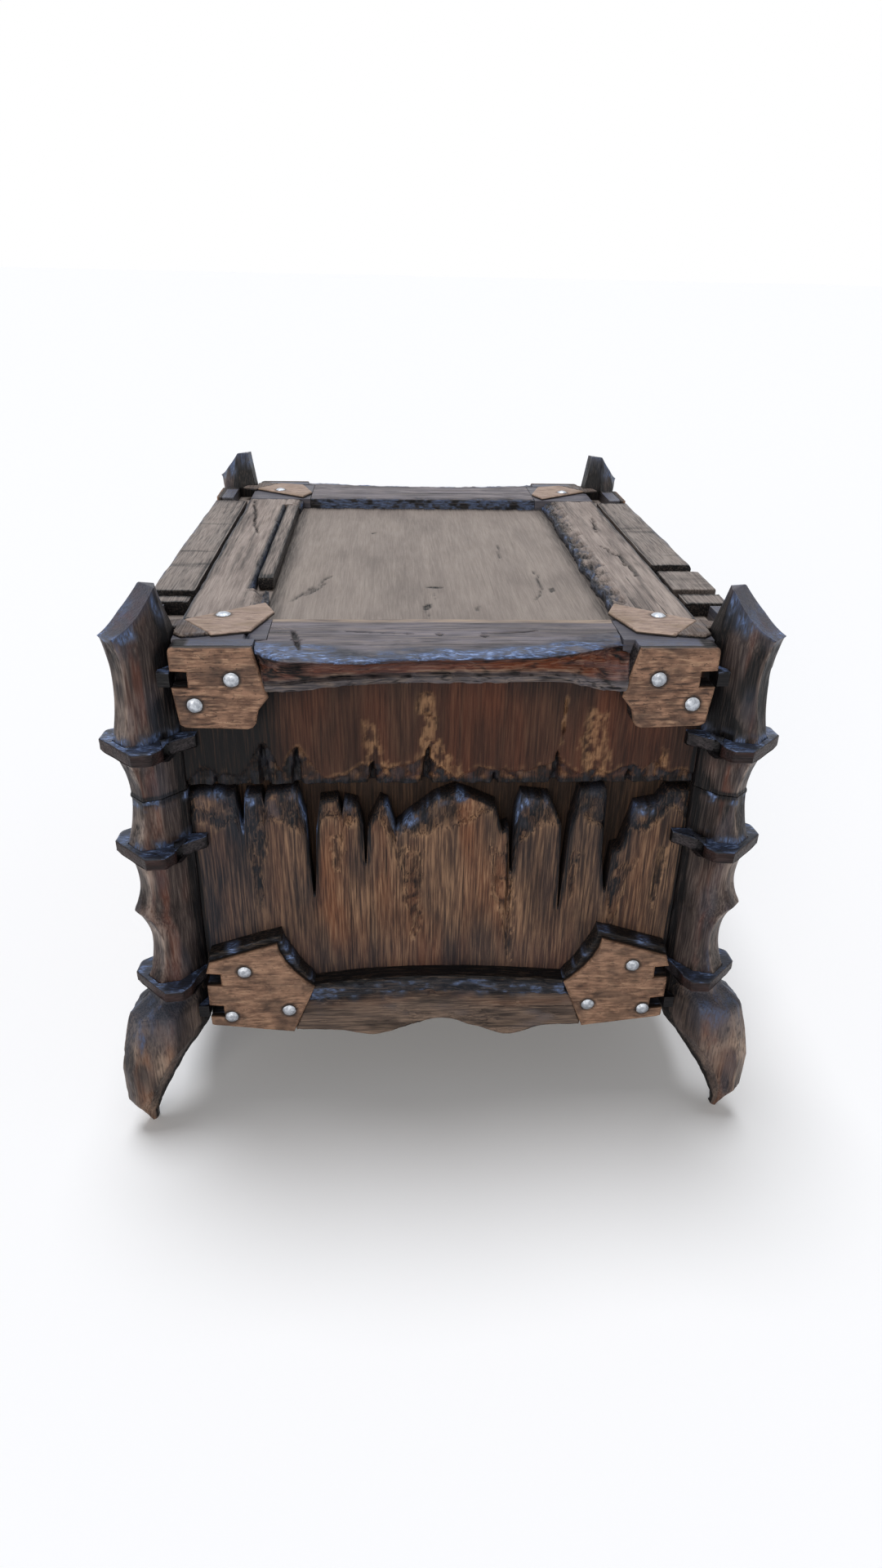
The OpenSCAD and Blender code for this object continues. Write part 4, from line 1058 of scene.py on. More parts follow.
# Bracket outlines as (height, distance from the post): the edge by the post, and the inner edge
TOP_POST_EDGE = [
    (-32, 27), (-31.2, 4), (-30, 2.2), (-15.5, 0.6), (-15.4, 6.6), (-9.1, 6.6), (-9, 0.6), (-1.6, 0.6),
    (-0.4, 1.1), (0, 2.2),
]
TOP_INNER_EDGE = [
    (-32, 27.1), (-31.3, 28.9), (-29.6, 30.2), (-26.5, 30.8), (-24, 31.6), (-21.5, 33.6), (-19.4, 35.3),
    (-17.8, 35), (0, 30.5),
]
LOW_POST_EDGE = [
    (-4.3, 36.4), (0.6, 0.8), (5, 0.6), (5.1, 6.6), (11.4, 6.6), (11.5, 0.6), (22.3, 0.6), (22.4, 6.6),
    (28.7, 6.6), (28.8, 0.6), (34.3, 2.3), (44, 31.4),
]
LOW_INNER_EDGE = [
    (-4.3, 36.5), (20.5, 46.5), (24.8, 41.8), (29.4, 37.9), (34.2, 34.8), (39.0, 32.6), (44, 31.5),
]
# Rivets, as (distance from the post, height), and the radii between which their painted shadow ring fades
TOP_RIVETS = [(22.5, -12), (8.5, -22)]
LOW_RIVETS = [(17, 30), (9.8, 5.5), (35, 8.5)]
RIVET_SHADOW_RING = (4.3, 3.2)
# Height that the outlines of each level are drawn from, both edges, and the rivets
BRACKETS = {
    "top": (LID_TOP_Z, TOP_POST_EDGE, TOP_INNER_EDGE, TOP_RIVETS),
    "low": (LOW_BRACKET_Z, LOW_POST_EDGE, LOW_INNER_EDGE, LOW_RIVETS),
}


def bracket_board(side, end, level, front, back, seed, plate=True):
    """One bracket plate, or the backing of the same outline behind it."""
    up, post_edge, inner_edge, rivets = BRACKETS[level]
    knots = sorted(set(h for h, _ in post_edge + inner_edge))
    shape = board([(h, 0) for h in knots], between(post_edge), between(inner_edge), step=0.9, rows=38)
    h, u, depth = shape.a, shape.b, shape.depth
    away = np.minimum(far_from(h, u, post_edge), far_from(h, u, inner_edge))
    x = end * (HALF[side] - u)
    q = xyz(x, up + h)
    dents = rough(q, (3.2, 3.2, 9), 3, seed)
    ragged = rough(q, (2.2, 2.2, 9), 2, seed + 1)
    fall = 0.22 * (1 + dents) + rounding(away, 0.8) + 0.35 * ramp(ragged, 0.25, 0.6) * ramp(away, 4, 0.5)
    if not plate and level == "low":
        x = x - end * 1.9 * ramp(u, 25, 35) * ramp(h, 20, 24)
        h = h + 2.5 * ramp(h, 24, 34)
    shape.p = on_side(side, x, front - depth * (front - back) - (1 - depth) * fall, up + h)
    # ring is painted shadow round each rivet head
    ring = np.zeros(len(x))
    for rivet_u, rivet_h in rivets:
        ring = np.maximum(ring, ramp(np.hypot(u - rivet_u, h - rivet_h), *RIVET_SHADOW_RING))
    if plate:
        mottled = ramp(rough(q, (5, 3.5, 9), 3, seed + 3), 0.1, 0.4)
        shape.mark(
            char=0.9 * ring + 0.95 * ramp(depth, 0.0, 0.4) + 0.35 * mottled * (1 - ring),
            rub=0.7 * ramp(away, 1.6, 0.4) * ramp(ragged, -0.4, 0.2) * (1 - depth)
            + 0.3 * ramp(dents, 0.1, 0.5) + 0.45 * (level == "low"),
        )
    else:
        # The backings are black, charred and standing as painted shade in the notches beside the pegs; the
        # top of the top ones is lighter with painted sheen, and the low ones get painted sheen
        top = ramp(h, -1.2, -0.2) * ramp(u, 6.2, 7.2) * (level == "top")
        painted_gloss = ramp(rough(q, (4, 3, 3), 3, seed + 2), 0.0, 0.4) * ramp(depth, 1.0, 0.8) * (level == "low")
        shape.mark(char=0.95 - 0.75 * top, glint=0.45 * top + painted_gloss)
    return shape


def backings(side, level, seed):
    """Both boards that fill the room between the bracket plates of a side and its panel."""
    front = RAIL_OUT - BRACKET_T - 0.05
    return [bracket_board(side, end, level, front, 0, seed, plate=False) for end in (-1, 1)]


def bracket_plates(side, level, wood):
    """Both bracket plates of one level on a side."""
    body, node = {"top": ("lid", "top_brackets"), "low": ("base", "bottom_brackets")}[level]
    seed = seed_of("bracket", side)
    shapes = [bracket_board(side, end, level, RAIL_OUT, RAIL_OUT - BRACKET_T, seed + end) for end in (-1, 1)]
    return finish_piece(f"{node}_{side}_brushed", body, wood, shapes, [f"{node}_{side}"])


# ---- Rails and beams ---------------------------------------------------------------------------------

# Waves of the rails: (percent of their half length, mm up)
LOW_RAIL_TOP = [(-100, 0), (-60, 2.5), (-20, 3.5), (30, 3), (70, 1.5), (100, 0)]
LOW_RAIL_FOOT = [(-100, 0), (-80, -1), (-55, -4), (-25, 1), (0, 5), (30, 0), (58, -5.5), (85, -1), (100, 0)]
SIDE_RAIL_FOOT = [(-100, 0), (-62, -3.5), (-30, -1), (0, -2.5), (36, 1), (70, 0), (100, 0)]
# Beams, in mm along: how far the edge of the top stands out, where the burnished border of the top starts,
# how far the lip stands out, and how far its foot hangs below the beam
FRONT_EDGE = [
    (-71, 8), (-64, 15), (-50, 18.3), (-34, 19.6), (-11, 16.2), (13, 15.3), (37.6, 11.8), (55, 5.8),
    (64, 1.5), (71, -0.5),
]
FRONT_BORDER = [
    (-71, -2), (-66, -0.7), (-51, 1.6), (-34.6, 10.5), (-10.7, 8.6), (13.7, 6.2), (39, 1.4), (57.4, -7.5),
    (69.3, -13),
]
FRONT_LIP = [(-71, 12.2), (-64, 12.4), (-43, 13), (-11, 10.3), (16, 10.4), (44, 9.6), (62, 12), (71, 12.2)]
FRONT_DROP = [(-71, 2.8), (-64, 2.6), (-43, 0.4), (-11, 0), (30, 0), (48, 0.4), (63, 2.7), (71, 3)]
REAR_EDGE = [(-71, 12), (-54, 9), (-34, 6), (-13, 4.5), (7, 5.5), (30, 6.5), (50, 9.5), (71, 13)]
REAR_BORDER = [(x, out - 10) for x, out in REAR_EDGE]
REAR_LIP = [(x, 0.85 * out + 2.8) for x, out in REAR_EDGE]
REAR_DROP = [(-71, 0), (71, 0)]
BEAMS = {
    "front": (FRONT_EDGE, FRONT_BORDER, FRONT_LIP, FRONT_DROP),
    "rear": (REAR_EDGE, REAR_BORDER, REAR_LIP, REAR_DROP),
}


def rail_section(out, bottom, top):
    """Paths of a bottom rail's section: a flat foot, a hollow below its bead, and the bead."""
    face = [(0, out - 1.2, bottom), (0.07, out - 0.2, bottom + 1),
            (0.34, out - 0.5, bottom * 0.65 + top * 0.35), (0.54, out - 2.0, bottom * 0.45 + top * 0.55),
            (0.60, out - 1.8, top - 8.6), (0.65, out - 0.4, top - 7.8), (0.80, out, top - 4.2),
            (0.94, out - 0.5, top - 1), (1, out - 1.8, top)]
    floor, roof = [(0, 0, bottom), (1, out - 1.2, bottom)], [(0, 0, top), (1, out - 1.4, top)]
    return floor, roof, [(0, 0, bottom), (1, 0, top)], face


def bottom_rail(side, wood):
    """Wavy rail between the brackets, with a charred bead along its top and backings at its ends."""
    half = HALF[side]
    seed = seed_of("bottom_rail", side)
    inner = half - BRACKET_W - 12
    reach = inner + 9.5
    bead, foot = LOW_BRACKET_Z + 20.5, LOW_BRACKET_Z - 4.3
    back = RAIL_OUT - BRACKET_T

    def section(w):
        """Its section at shares w of its length."""
        share = np.clip((2 * w - 1) * reach / inner * 100, -100, 100)
        bottom, top = foot + curve(LOW_RAIL_FOOT, share), bead + curve(LOW_RAIL_TOP, share)
        return rail_section(RAIL_OUT + 0 * w, bottom, top)

    shape = loft((8, 28, round(2 * reach / 0.9)), section)
    x = (2 * shape.w - 1) * reach
    slanted = half - between(LOW_INNER_EDGE)(shape.b - LOW_BRACKET_Z)
    under = ramp(abs(x) - slanted, 0.0, 0.9)
    out = np.minimum(shape.a, back + (RAIL_OUT - back) * (1 - under))
    q = xyz(x, shape.b)
    shape.p = on_side(side, x, out, shape.b)

    front = ramp(shape.u, 0.9, 1.0)
    grooves = rough(q, (30, 2.0, 9), 3, seed)
    chewed = ramp(rough(q, (6, 3, 9), 3, seed + 1), 0.2, 0.6)
    swell = rough(q, (16, 7, 9), 2, seed + 6)
    wear = rough(q, (5, 2.5, 9), 3, seed + 5)
    top = ramp(shape.v + 0.05 * wear, 0.56, 0.64)
    shape.push(-(0.45 * np.clip(0.5 + grooves, 0, 1) + 0.7 * chewed + 0.5 + 0.5 * swell) * front)
    shape.push(-0.9 * top * hacked(q, (6, 4, 9), seed + 8) * front)

    sooty = ramp(rough(q, (18, 5, 9), 3, seed + 2), 0.0, 0.4)
    # under is painted shade where the rail runs behind the brackets; the bead and the face get painted sheen
    shape.mark(
        char=0.9 * top + ramp(shape.v, 0.985, 1.0) + 0.6 * sooty + 0.5 * ramp(shape.v, 0.1, 0.0) + under,
        rust=0.6 * ramp(shape.v, 0.35, 0.6) * (1 - top) * ramp(rough(q, (25, 6, 9), 2, seed + 3), -0.4, 0.3),
        rub=0.5 * ramp(shape.v, 0.35, 0.1) * ramp(rough(q, (14, 4, 9), 2, seed + 4), -0.3, 0.3),
        glint=top * (0.12 + 0.60 * ramp(wear, -0.05, 0.35)) * ramp(shape.v, 0.99, 0.97)
        + 0.25 * (1 - top) * front * ramp(swell, 0.1, 0.5),
    )
    return finish_piece(f"bottom_rail_{side}_carved", "base", wood,
                        [shape] + backings(side, "low", seed + 7), [f"bottom_rail_{side}"])


# Slits and cracks in the top of the front beam and of its end blocks, as (x, y, x, y, width)
BEAM_SLITS = [
    (-57.2, -131.5, -53.7, -149, 1.0), (69.0, -124.3, 71.0, -146, 0.9), (-37, -131.4, -12.6, -134, 0.8),
    (14, -133.3, 34.7, -131.1, 0.6), (-3.2, -134.9, -1.4, -134.9, 1.2), (13.6, -136.7, 15.2, -136.7, 1.3),
]
END_SLITS = [(-74.4, -133, -71.2, -149.5, 0.9)]


def cut_lines(x, y, lines):
    """1 on each line, as (x, y, x, y, width), tapering towards its ends; 0 off them."""
    deep = np.zeros(len(x))
    for x0, y0, x1, y1, width in lines:
        run, rise = x1 - x0, y1 - y0
        t = np.clip(((x - x0) * run + (y - y0) * rise) / (run * run + rise * rise), 0, 1)
        off = np.hypot(x - x0 - t * run, y - y0 - t * rise)
        deep = np.maximum(deep, ramp(width * (0.5 + 2 * t * (1 - t)) - off, -0.35, 0.25))
    return deep


def beam_section(inside, brow, lip, foot):
    """Paths of a beam's section: a bevelled top over a hollow band and a lip."""
    edge = (brow, LID_TOP_Z - 2.2)
    bottom = [(0, inside, FRAME_Z), (0.52, 0, FRAME_Z), (0.66, 0, BEAM_Z), (1, lip - 1, foot)]
    top = [(0, inside, LID_TOP_Z), (0.66, brow - 10, LID_TOP_Z), (0.82, brow - 4.5, LID_TOP_Z - 0.4),
           (0.94, brow - 1.2, LID_TOP_Z - 1.1), (1, *edge)]
    face = [(0, lip - 1, foot), (0.07, lip, foot + 0.8), (0.32, lip + 0.2, foot + 3.4),
            (0.38, lip - 1.6, foot + 4.3), (0.66, (lip + brow) / 2 - 3, 0.5 * (foot + LID_TOP_Z) + 0.6),
            (0.90, brow - 0.9, LID_TOP_Z - 3.6), (1, *edge)]
    return bottom, top, [(0, inside, FRAME_Z), (1, inside, LID_TOP_Z)], face


def beam_body(side, field, seed):
    """The beam between its corner blocks, out to the slanted edges of the brackets, carved and marked."""
    edge_way, border_way, lip_way, drop_way = BEAMS[side]
    inner = CORE_X - BRACKET_W

    def section(w):
        """Its section at shares w of its length."""
        x = (2 * w - 1) * (inner + 4)
        return beam_section(-field, curve(edge_way, x), curve(lip_way, x), BEAM_Z - curve(drop_way, x))

    shape = loft((58, 24, 190), section)
    # Past the panel, the beam runs on to the slanted edges of the brackets
    out, v = shape.a.copy(), shape.v
    slant = between(TOP_INNER_EDGE)(shape.b - LID_TOP_Z)
    x = (2 * shape.w - 1) * (inner + (BRACKET_W - slant - 0.1) * ramp(out, -0.6, 0.4))
    q = xyz(x, out, shape.b)
    line = xyz(x)
    rear = float(side == "rear")
    ragged = rough(q, (5, 5, 3), 3, seed + 1)
    grooves = rough(q, (34, 2.0, 2.0), 3, seed)
    facets = hacked(q, (7, 6, 6), seed + 2)
    front = ramp(shape.u, 0.94, 1.0)
    on_top = ramp(v, 0.95, 1.0)
    beyond = out - curve(border_way, x) + 3 * rough(q, (12, 9, 9), 2, seed + 6)
    border = ramp(beyond, -1.5, 4) * ramp(shape.b, LID_TOP_Z - 3.2, LID_TOP_Z - 2.2)
    inner_gap = out + field
    bitten = rear * ramp(6 + 4 * rough(line, (9, 9, 9), 2, seed + 7) - inner_gap, 0, 3)
    slits = cut_lines(x, -HALF_D - out, BEAM_SLITS) * on_top * (1 - rear)
    fall = np.maximum(front, on_top) * (0.4 * np.clip(0.5 + grooves, 0, 1) + 0.7 * border * facets)
    fall += 0.7 * front * facets + on_top * (1.0 * slits + bitten * (0.8 + 1.6 * facets))
    shape.p = on_side(side, x, out, shape.b)
    shape.push(-fall)

    # The band is rusty with charred ends and painted shade under the top, the lip below it rubbed, the inner
    # face of the rear beam blacked as painted shade, and the border of the top gets a painted sheen
    band = ramp(v, 0.36, 0.42) * ramp(v, 0.99, 0.93) * front
    lip = ramp(v, 0.36, 0.32) * front
    ends = ramp(abs(x), 0.50 * inner, 0.98 * inner)
    creases = ramp(abs(rough(q, (16, 4, 2.2), 2, seed + 8)), 0.12, 0.0)
    border_soot = ramp(rough(q, (9, 2.2, 2.2), 3, seed + 11), -0.2, 0.3)
    fine_soot = ramp(rough(q, (44, 1.5, 1.5), 3, seed + 12), 0.15, 0.4)
    wide_soot = ramp(rough(q, (22, 6, 6), 3, seed + 3), 0.15, 0.5)
    band_soot_and_shade = 0.28 + 0.6 * ends * ramp(ragged, -0.3, 0.3) + 0.6 * ramp(v, 0.84, 0.98)
    rubbed = ramp(rough(q, (22, 9, 9), 2, seed + 9), -0.3, 0.3)
    shape.mark(
        char=0.75 * border * border_soot + 0.55 * fine_soot * on_top * (1 - border) + band * band_soot_and_shade
        + 0.8 * ramp(abs(v - 0.36), 0.04, 0.0) * front + 0.45 * lip + 0.35 * wide_soot * (1 - border) + slits
        + 0.8 * bitten + rear * ramp(inner_gap, 1.0, 0.0) + 0.5 * creases * front * (1 - border),
        rust=band * (0.95 + 0.25 * ramp(rough(q, (22, 9, 4), 2, seed + 4), -0.6, 0.1)),
        rub=0.35 * lip * ramp(ragged, -0.2, 0.4) + 1.2 * (1 - rear) * ramp(inner_gap, 4.5, 2.0) * on_top
        + 0.7 * band * ramp(abs(v - 0.42), 0.06, 0.01) * rubbed * (1 - ends),
        glint=border * (0.30 + 0.70 * ramp(rough(q, (14, 4, 4), 3, seed + 5), -0.35, 0.15)) * (1 - slits)
        + 0.7 * bitten * ramp(ragged, -0.3, 0.1),
    )
    return shape


def beam_end(side, end, field, seed):
    """Block at an end of a beam, below the corner plates. The front ones have a slit."""
    shape = bar((CORE_X - BRACKET_W, -field, FRAME_Z), (CORE_X, 0, LID_TOP_Z), step=0.9, radius=0.5)
    run, out, up = shape.p.T
    run = end * run
    slit = cut_lines(run, -HALF_D - out, END_SLITS) * (up > LID_TOP_Z - 1) * (side == "front")
    shape.p = on_side(side, run, out, up)
    shape.push(-0.2 - 0.2 * rough(shape.p, (20, 2.2, 2.2), 3, seed + 8) - 1.2 * slit)
    # Painted sheen all over the block
    shape.mark(char=slit + 0.15 + 0.3 * rough(shape.p, (9, 9, 9), 3, seed + 9), glint=0.35 + 0 * run)
    return shape


def top_beam(side, wood):
    """Beam that bulges past the panel, with a block and a backing at each end. The rear one's inner edge is
    hacked."""
    seed = seed_of("beam", side)
    field = HALF_D + FIELD_LOW[1] if side == "front" else HALF_D - FIELD_HIGH[1]
    shapes = [beam_body(side, field, seed)]
    for end, backing in zip((-1, 1), backings(side, "top", seed + 7)):
        shapes += [beam_end(side, end, field, seed), backing]
    return finish_piece(f"top_beam_{side}_carved", "lid", wood, shapes, [f"top_beam_{side}"])


def bar(low, high, step, radius):
    """Plain block between two corners, with rounded edges."""
    low, high = np.array(low, float), np.array(high, float)
    shape = Shape(brick([max(3, round(size / step)) for size in high - low]))
    p = low + (shape.p + 1) / 2 * (high - low)
    core = np.clip(p, low + radius, high - radius)
    reach = np.linalg.norm(p - core, axis=1, keepdims=True)
    shape.p = np.where(reach > 1e-6, core + radius * (p - core) / np.maximum(reach, 1e-6), p)
    return shape


# Openings in the side rails, from the left end of the rail seen from outside to its right end
RAIL_OPENINGS = {"left": (80.0, 88.0), "right": (-83.0, -38.0)}
PLY_T = 3.7


def side_wall(side, start, end, low, high, inside, seed):
    """One stretch of a side rail, from start to end and low to high, as far in as inside."""
    piece_seed = seed_of("side_rail", side)
    half = CORE_Y - BRACKET_W
    is_top = high == LID_TOP_Z

    def section(w):
        """Its section at shares w of its length."""
        x = start + w * (end - start)
        line = xyz(x)
        out = SIDE_RAIL_OUT + (0.7 * rough(line, (22, 9, 9), 2, piece_seed) - 0.7)
        dip = 0.35 * rough(line + (0, 3, 0), (14, 9, 9), 2, piece_seed + 1) - 0.4
        foot = low + (0 * x if is_top else curve(SIDE_RAIL_FOOT, x / half * 100))
        top = high + (dip if is_top else 0 * x)
        face = [(0, out - 0.8, foot), (0.08, out, foot + 0.8), (0.9, out, top - 1.2), (1, out - 1.0, top)]
        floor, roof = [(0, inside, foot), (1, out - 0.8, foot)], [(0, inside, top), (1, out - 1.0, top)]
        return floor, roof, [(0, inside, foot), (1, inside, top)], face

    shape = loft((14, max(4, round((high - low) / 1.2)), round((end - start) / 1.1)), section)
    x = start + shape.w * (end - start)
    q = xyz(x, shape.a, shape.b)
    shape.p = on_side(side, x, shape.a, shape.b)
    ply = abs((shape.a / PLY_T) % 1 - 0.5) * 2
    on_top = ramp(shape.v, 0.97, 1.0) * is_top
    seam = ramp(ply, 0.84, 1.0) * on_top
    grooves = rough(q, (30, 1.8, 1.8), 3, seed)
    shape.push(-(0.3 * np.clip(0.5 + grooves, 0, 1) + 0.5 * seam))
    bands = ramp(rough(q, (5, 60, 60), 3, piece_seed + 4), 0.15, 0.5)
    sooty = ramp(rough(q, (20, 5, 5), 3, piece_seed + 5), -0.2, 0.4)
    sheen_spots = ramp(rough(q, (6, 9, 9), 2, piece_seed + 6), -0.2, 0.3)
    ends = ramp(np.minimum(x - start, end - x), 2.2, 0.8) * is_top
    # Black ply seams and ends, and painted sheen along the outer top edge
    shape.mark(
        char=seam + 0.95 * ends + 0.75 * bands * on_top + 0.6 * (1 - on_top) * sooty,
        rub=0.4 * on_top * (1 - bands),
        glint=0.6 * ramp(shape.u, 0.9, 1.0) * ramp(shape.v, 0.88, 1.0) * sheen_spots,
        rust=0.5 * (1 - on_top) * ramp(rough(q, (25, 5, 5), 2, piece_seed + 7), 0, 0.4),
    )
    return shape


def side_rail(side, wood):
    """Upright wall of three plies along the side of the lid, open where the slider or the gap is."""
    seed = seed_of("side_rail", side)
    half = CORE_Y - BRACKET_W
    inside = -(HALF_W - FRAME_X) + 0.4
    opening = RAIL_OPENINGS[side]
    shapes = [
        side_wall(side, -half, half, LEDGE_Z, FRAME_Z, 0.0, seed + 10),
        side_wall(side, -half, opening[0], FRAME_Z, LID_TOP_Z, inside, seed + 11),
        side_wall(side, opening[1], half, FRAME_Z, LID_TOP_Z, inside, seed + 12),
        *backings(side, "top", seed + 13),
    ]
    return finish_piece(f"top_rail_{side}_carved", "lid", wood, shapes,
                        [f"top_rail_{side}"])


# ---- Top of the lid ----------------------------------------------------------------------------------

LATH = span("slider_lath")
SLIDER = span("side_slider")
# Front and rear end of the lath's slot, with its room to slide to the front
LATH_OPEN = (LATH[0][1] - 16.0, LATH[1][1] + 0.6)


def flat_board(knots, low, high, top, bottom, seed, step, rows, depth=0.35, radius=0.8, ends=(1, 1)):
    """Board lying on the lid: a runs along Y, b along X; its top is brushed along Y. An end of 0 is not
    rounded, because it meets another board. shape.away is the distance from its rim."""
    shape = board(knots, low, high, step, rows)
    y, x, back = shape.a, shape.b, shape.depth
    q = xyz(x, y)
    from_start, from_end = y - knots[0][0], knots[-1][0] - y
    away = np.minimum(x - low(y), high(y) - x)
    away = np.minimum(away, from_start) if ends[0] else away
    away = np.minimum(away, from_end) if ends[1] else away
    grooves = rough(q, (2.0, 32, 9), 3, seed)
    fall = depth * np.clip(0.5 + grooves, 0, 1) + rounding(np.maximum(away, 0), radius)
    shape.p = xyz(x, y, top - back * (top - bottom) - (1 - back) * fall)
    shape.away, shape.q = away, q
    return shape


def ragged_edge(base, amount, seed, size):
    """An edge that wanders from its line by up to amount, in waves about size long."""
    def edge(y):
        """X of the edge at y."""
        return base + amount * rough(xyz(0, y), (9, size, 9), 3, seed)
    return edge


# Cracks in the boards beside the field, as (x, y, x, y, width)
FRAME_CRACKS = [
    (84.6, -3.9, 91.4, -25.1, 0.6), (91, -20, 90, -57, 0.5), (-98, 95, -88, 18, 0.6), (92, 60, 88, 25, 0.5),
]
# Their outer and inner edges on the right; the left ones mirror them
FRAME_OUTER = ragged_edge(FRAME_X - 0.9, 0.8, seed_of("frame_edge"), 16)
FRAME_INNER = ragged_edge(FIELD_X - 0.2, 2.4, seed_of("frame_edge") + 1, 9)


def frame_board(side, start, end, inner, hack, seed, ends=(1, 1)):
    """Board from start to end along Y and from inner(y) to the rail. Its inner edge is hacked back by about
    hack mm."""
    if side == "left":
        near, far = lambda y: -FRAME_OUTER(y), lambda y: -inner(y)
    else:
        near, far = inner, FRAME_OUTER
    shape = flat_board([(start, 0), (end, 0)], near, far, LID_TOP_Z, FRAME_Z, seed, step=1.0, rows=26,
                       ends=ends)
    x, y, face = shape.q[:, 0], shape.q[:, 1], 1 - shape.depth
    bites = rough(xyz(0, y), (9, 6, 9), 2, seed + 2)
    zone = ramp(hack * (1 + 0.8 * bites) - (abs(x) - inner(y)), 0, 2.5) * face
    facets = hacked(shape.q, (5, 6, 9), seed + 3)
    wander = x + 1.2 * rough(shape.q, (30, 9, 9), 2, seed_of("frame_edge") + 2)
    cracks = cut_lines(wander, y, FRAME_CRACKS) * face
    shape.p[:, 2] -= zone * (0.5 + 2.4 * facets) + 1.3 * cracks
    streaks = rough(shape.q, (9, 70, 9), 3, seed + 1)
    fine = rough(shape.q, (2, 4, 9), 3, seed + 4)
    # Black edges and cracks, and painted sheen in the hacked zone and along the rim
    shape.mark(
        char=0.38 * ramp(streaks, 0.10, 0.45) * face + 0.95 * ramp(shape.away, 2.6, 0.8) + shape.depth
        + 0.9 * cracks + 0.5 * ramp(rough(shape.q, (2.2, 60, 9), 3, seed + 5), 0.15, 0.4) * face
        + 0.6 * zone * ramp(facets, 0.2, 0.7),
        rub=0.4 * ramp(-streaks, 0.0, 0.4) * face,
        glint=0.55 * zone * ramp(fine, 0.0, 0.4) + 0.4 * ramp(shape.away, 1.4, 0.3) * face,
    )
    return shape


def lid_frame(side, wood):
    """Board between the sunken field and the side rail. The left one is open for the lath."""
    low, high = FIELD_LOW[1], FIELD_HIGH[1]
    seed = seed_of("lid_frame")
    if side == "left":
        beside_lath = straight(-(LATH[0][0] - 0.9))
        shapes = [
            frame_board(side, low, LATH_OPEN[0], FRAME_INNER, 6.0, seed, (1, 0)),
            frame_board(side, *LATH_OPEN, beside_lath, 1.5, seed, (0, 0)),
            frame_board(side, LATH_OPEN[1], high, FRAME_INNER, 4.0, seed, (0, 1)),
        ]
    else:
        shapes = [frame_board(side, low, high, FRAME_INNER, 7.0, seed + 10)]
    return finish_piece(f"lid_frame_{side}_brushed", "lid", wood, shapes,
                        [f"lid_frame_{side}"])


# Scratches and knots of the sunken field, as (x, y, x, y, width)
FIELD_SCRATCHES = [
    (-62.8, -78.7, -47.7, -40.5, 0.9), (-57, -70, -50, -52, 1.1), (47.3, -59.7, 48.5, -29.3, 0.6),
    (16, -97, 16.5, -84, 0.7), (36, 19.4, 34, -7.7, 0.5), (-5.2, -98, -4.6, -84, 1.0),
    (-1.4, -78, -1.0, -66, 0.9), (43, -75, 47, -60, 0.5),
]
FIELD_KNOTS = [
    (-3.8, -57.8, 2.4, -57.8, 1.4), (-5.6, -89.3, -4.2, -82, 1.6), (51, -64, 52, -58, 1.2),
    (-30, 40, -28, 42, 0.8),
]


def lid_field(wood):
    """Brushed face of the sunken field, a thin skin on the lid board."""
    seed = seed_of("field")
    knots = [(FIELD_LOW[1] - 1.2, 0), (FIELD_HIGH[1] + 1.2, 0)]
    left, right = straight(-FIELD_X - 0.9), straight(FIELD_X + 0.9)
    top, bottom = FRAME_Z + 0.75, FRAME_Z + 0.05
    shape = flat_board(knots, left, right, top, bottom, seed, step=1.2, rows=118, depth=0.4, radius=0.3)
    q, y = shape.q, shape.q[:, 1]
    wander = q[:, 0] + 1.0 * rough(q, (40, 7, 9), 2, seed + 1)
    scratch = cut_lines(wander, y, FIELD_SCRATCHES) * ramp(rough(q, (2, 5, 9), 2, seed + 2), -0.5, 0.1)
    knot = cut_lines(wander, y, FIELD_KNOTS)
    shape.p[:, 2] -= (1 - shape.depth) * (0.5 * scratch + 0.3 * knot)
    border = ramp(shape.away, 9, 1)
    cloud = ramp(rough(q, (20, 50, 9), 3, seed + 3), 0, 0.5)
    shape.mark(
        char=0.8 * scratch + 0.9 * knot + 0.7 * border + 0.12 * cloud,
        rub=0.35 * ramp(rough(q, (14, 60, 9), 3, seed + 4), 0.0, 0.5),
    )
    return finish_piece("lid_field_brushed", "lid", wood, [shape])


def slider_lath(wood):
    """The long slider in the left board of the lid, charred at its front end and along its sides."""
    low, high = LATH
    seed = seed_of("lath")
    shape = bar(low, high, step=0.9, radius=0.7)
    q = shape.p.copy()
    shape.push(-0.15 - 0.25 * np.clip(rough(q, (1.6, 26, 3), 3, seed), 0, 1))
    front = ramp(q[:, 1], low[1] + 9 + 5 * rough(q, (1.5, 9, 9), 2, seed + 1), low[1])
    sides = ramp(np.minimum(q[:, 0] - low[0], high[0] - q[:, 0]), 1.4, 0.4)
    streaks = ramp(rough(q, (3, 30, 9), 3, seed + 2), 0, 0.5)
    shape.mark(char=0.40 + 0.7 * front + 0.4 * streaks + 0.8 * sides, rub=0.3 * (1 - front) * (1 - sides))
    return finish_piece("slider_lath_brushed", "lath", wood, [shape], ["slider_lath"])


def side_slider(wood):
    """The short block in the right rail of the lid, rubbed on its top between charred bands."""
    low, high = SLIDER
    seed = seed_of("slider")
    shape = bar(low, high, step=0.9, radius=0.8)
    q = shape.p.copy()
    shape.push(-0.15 - 0.3 * np.clip(rough(q, (1.8, 22, 3), 3, seed), 0, 1))
    bands = ramp(rough(q, (60, 6, 9), 3, seed + 1), 0.1, 0.5)
    top = ramp(q[:, 2], high[2] - 0.6, high[2])
    shape.mark(char=0.6 * bands + 0.5 * (1 - top), rub=0.45 * top * (1 - bands))
    return finish_piece("side_slider_brushed", "side_slide", wood, [shape], ["side_slider"])


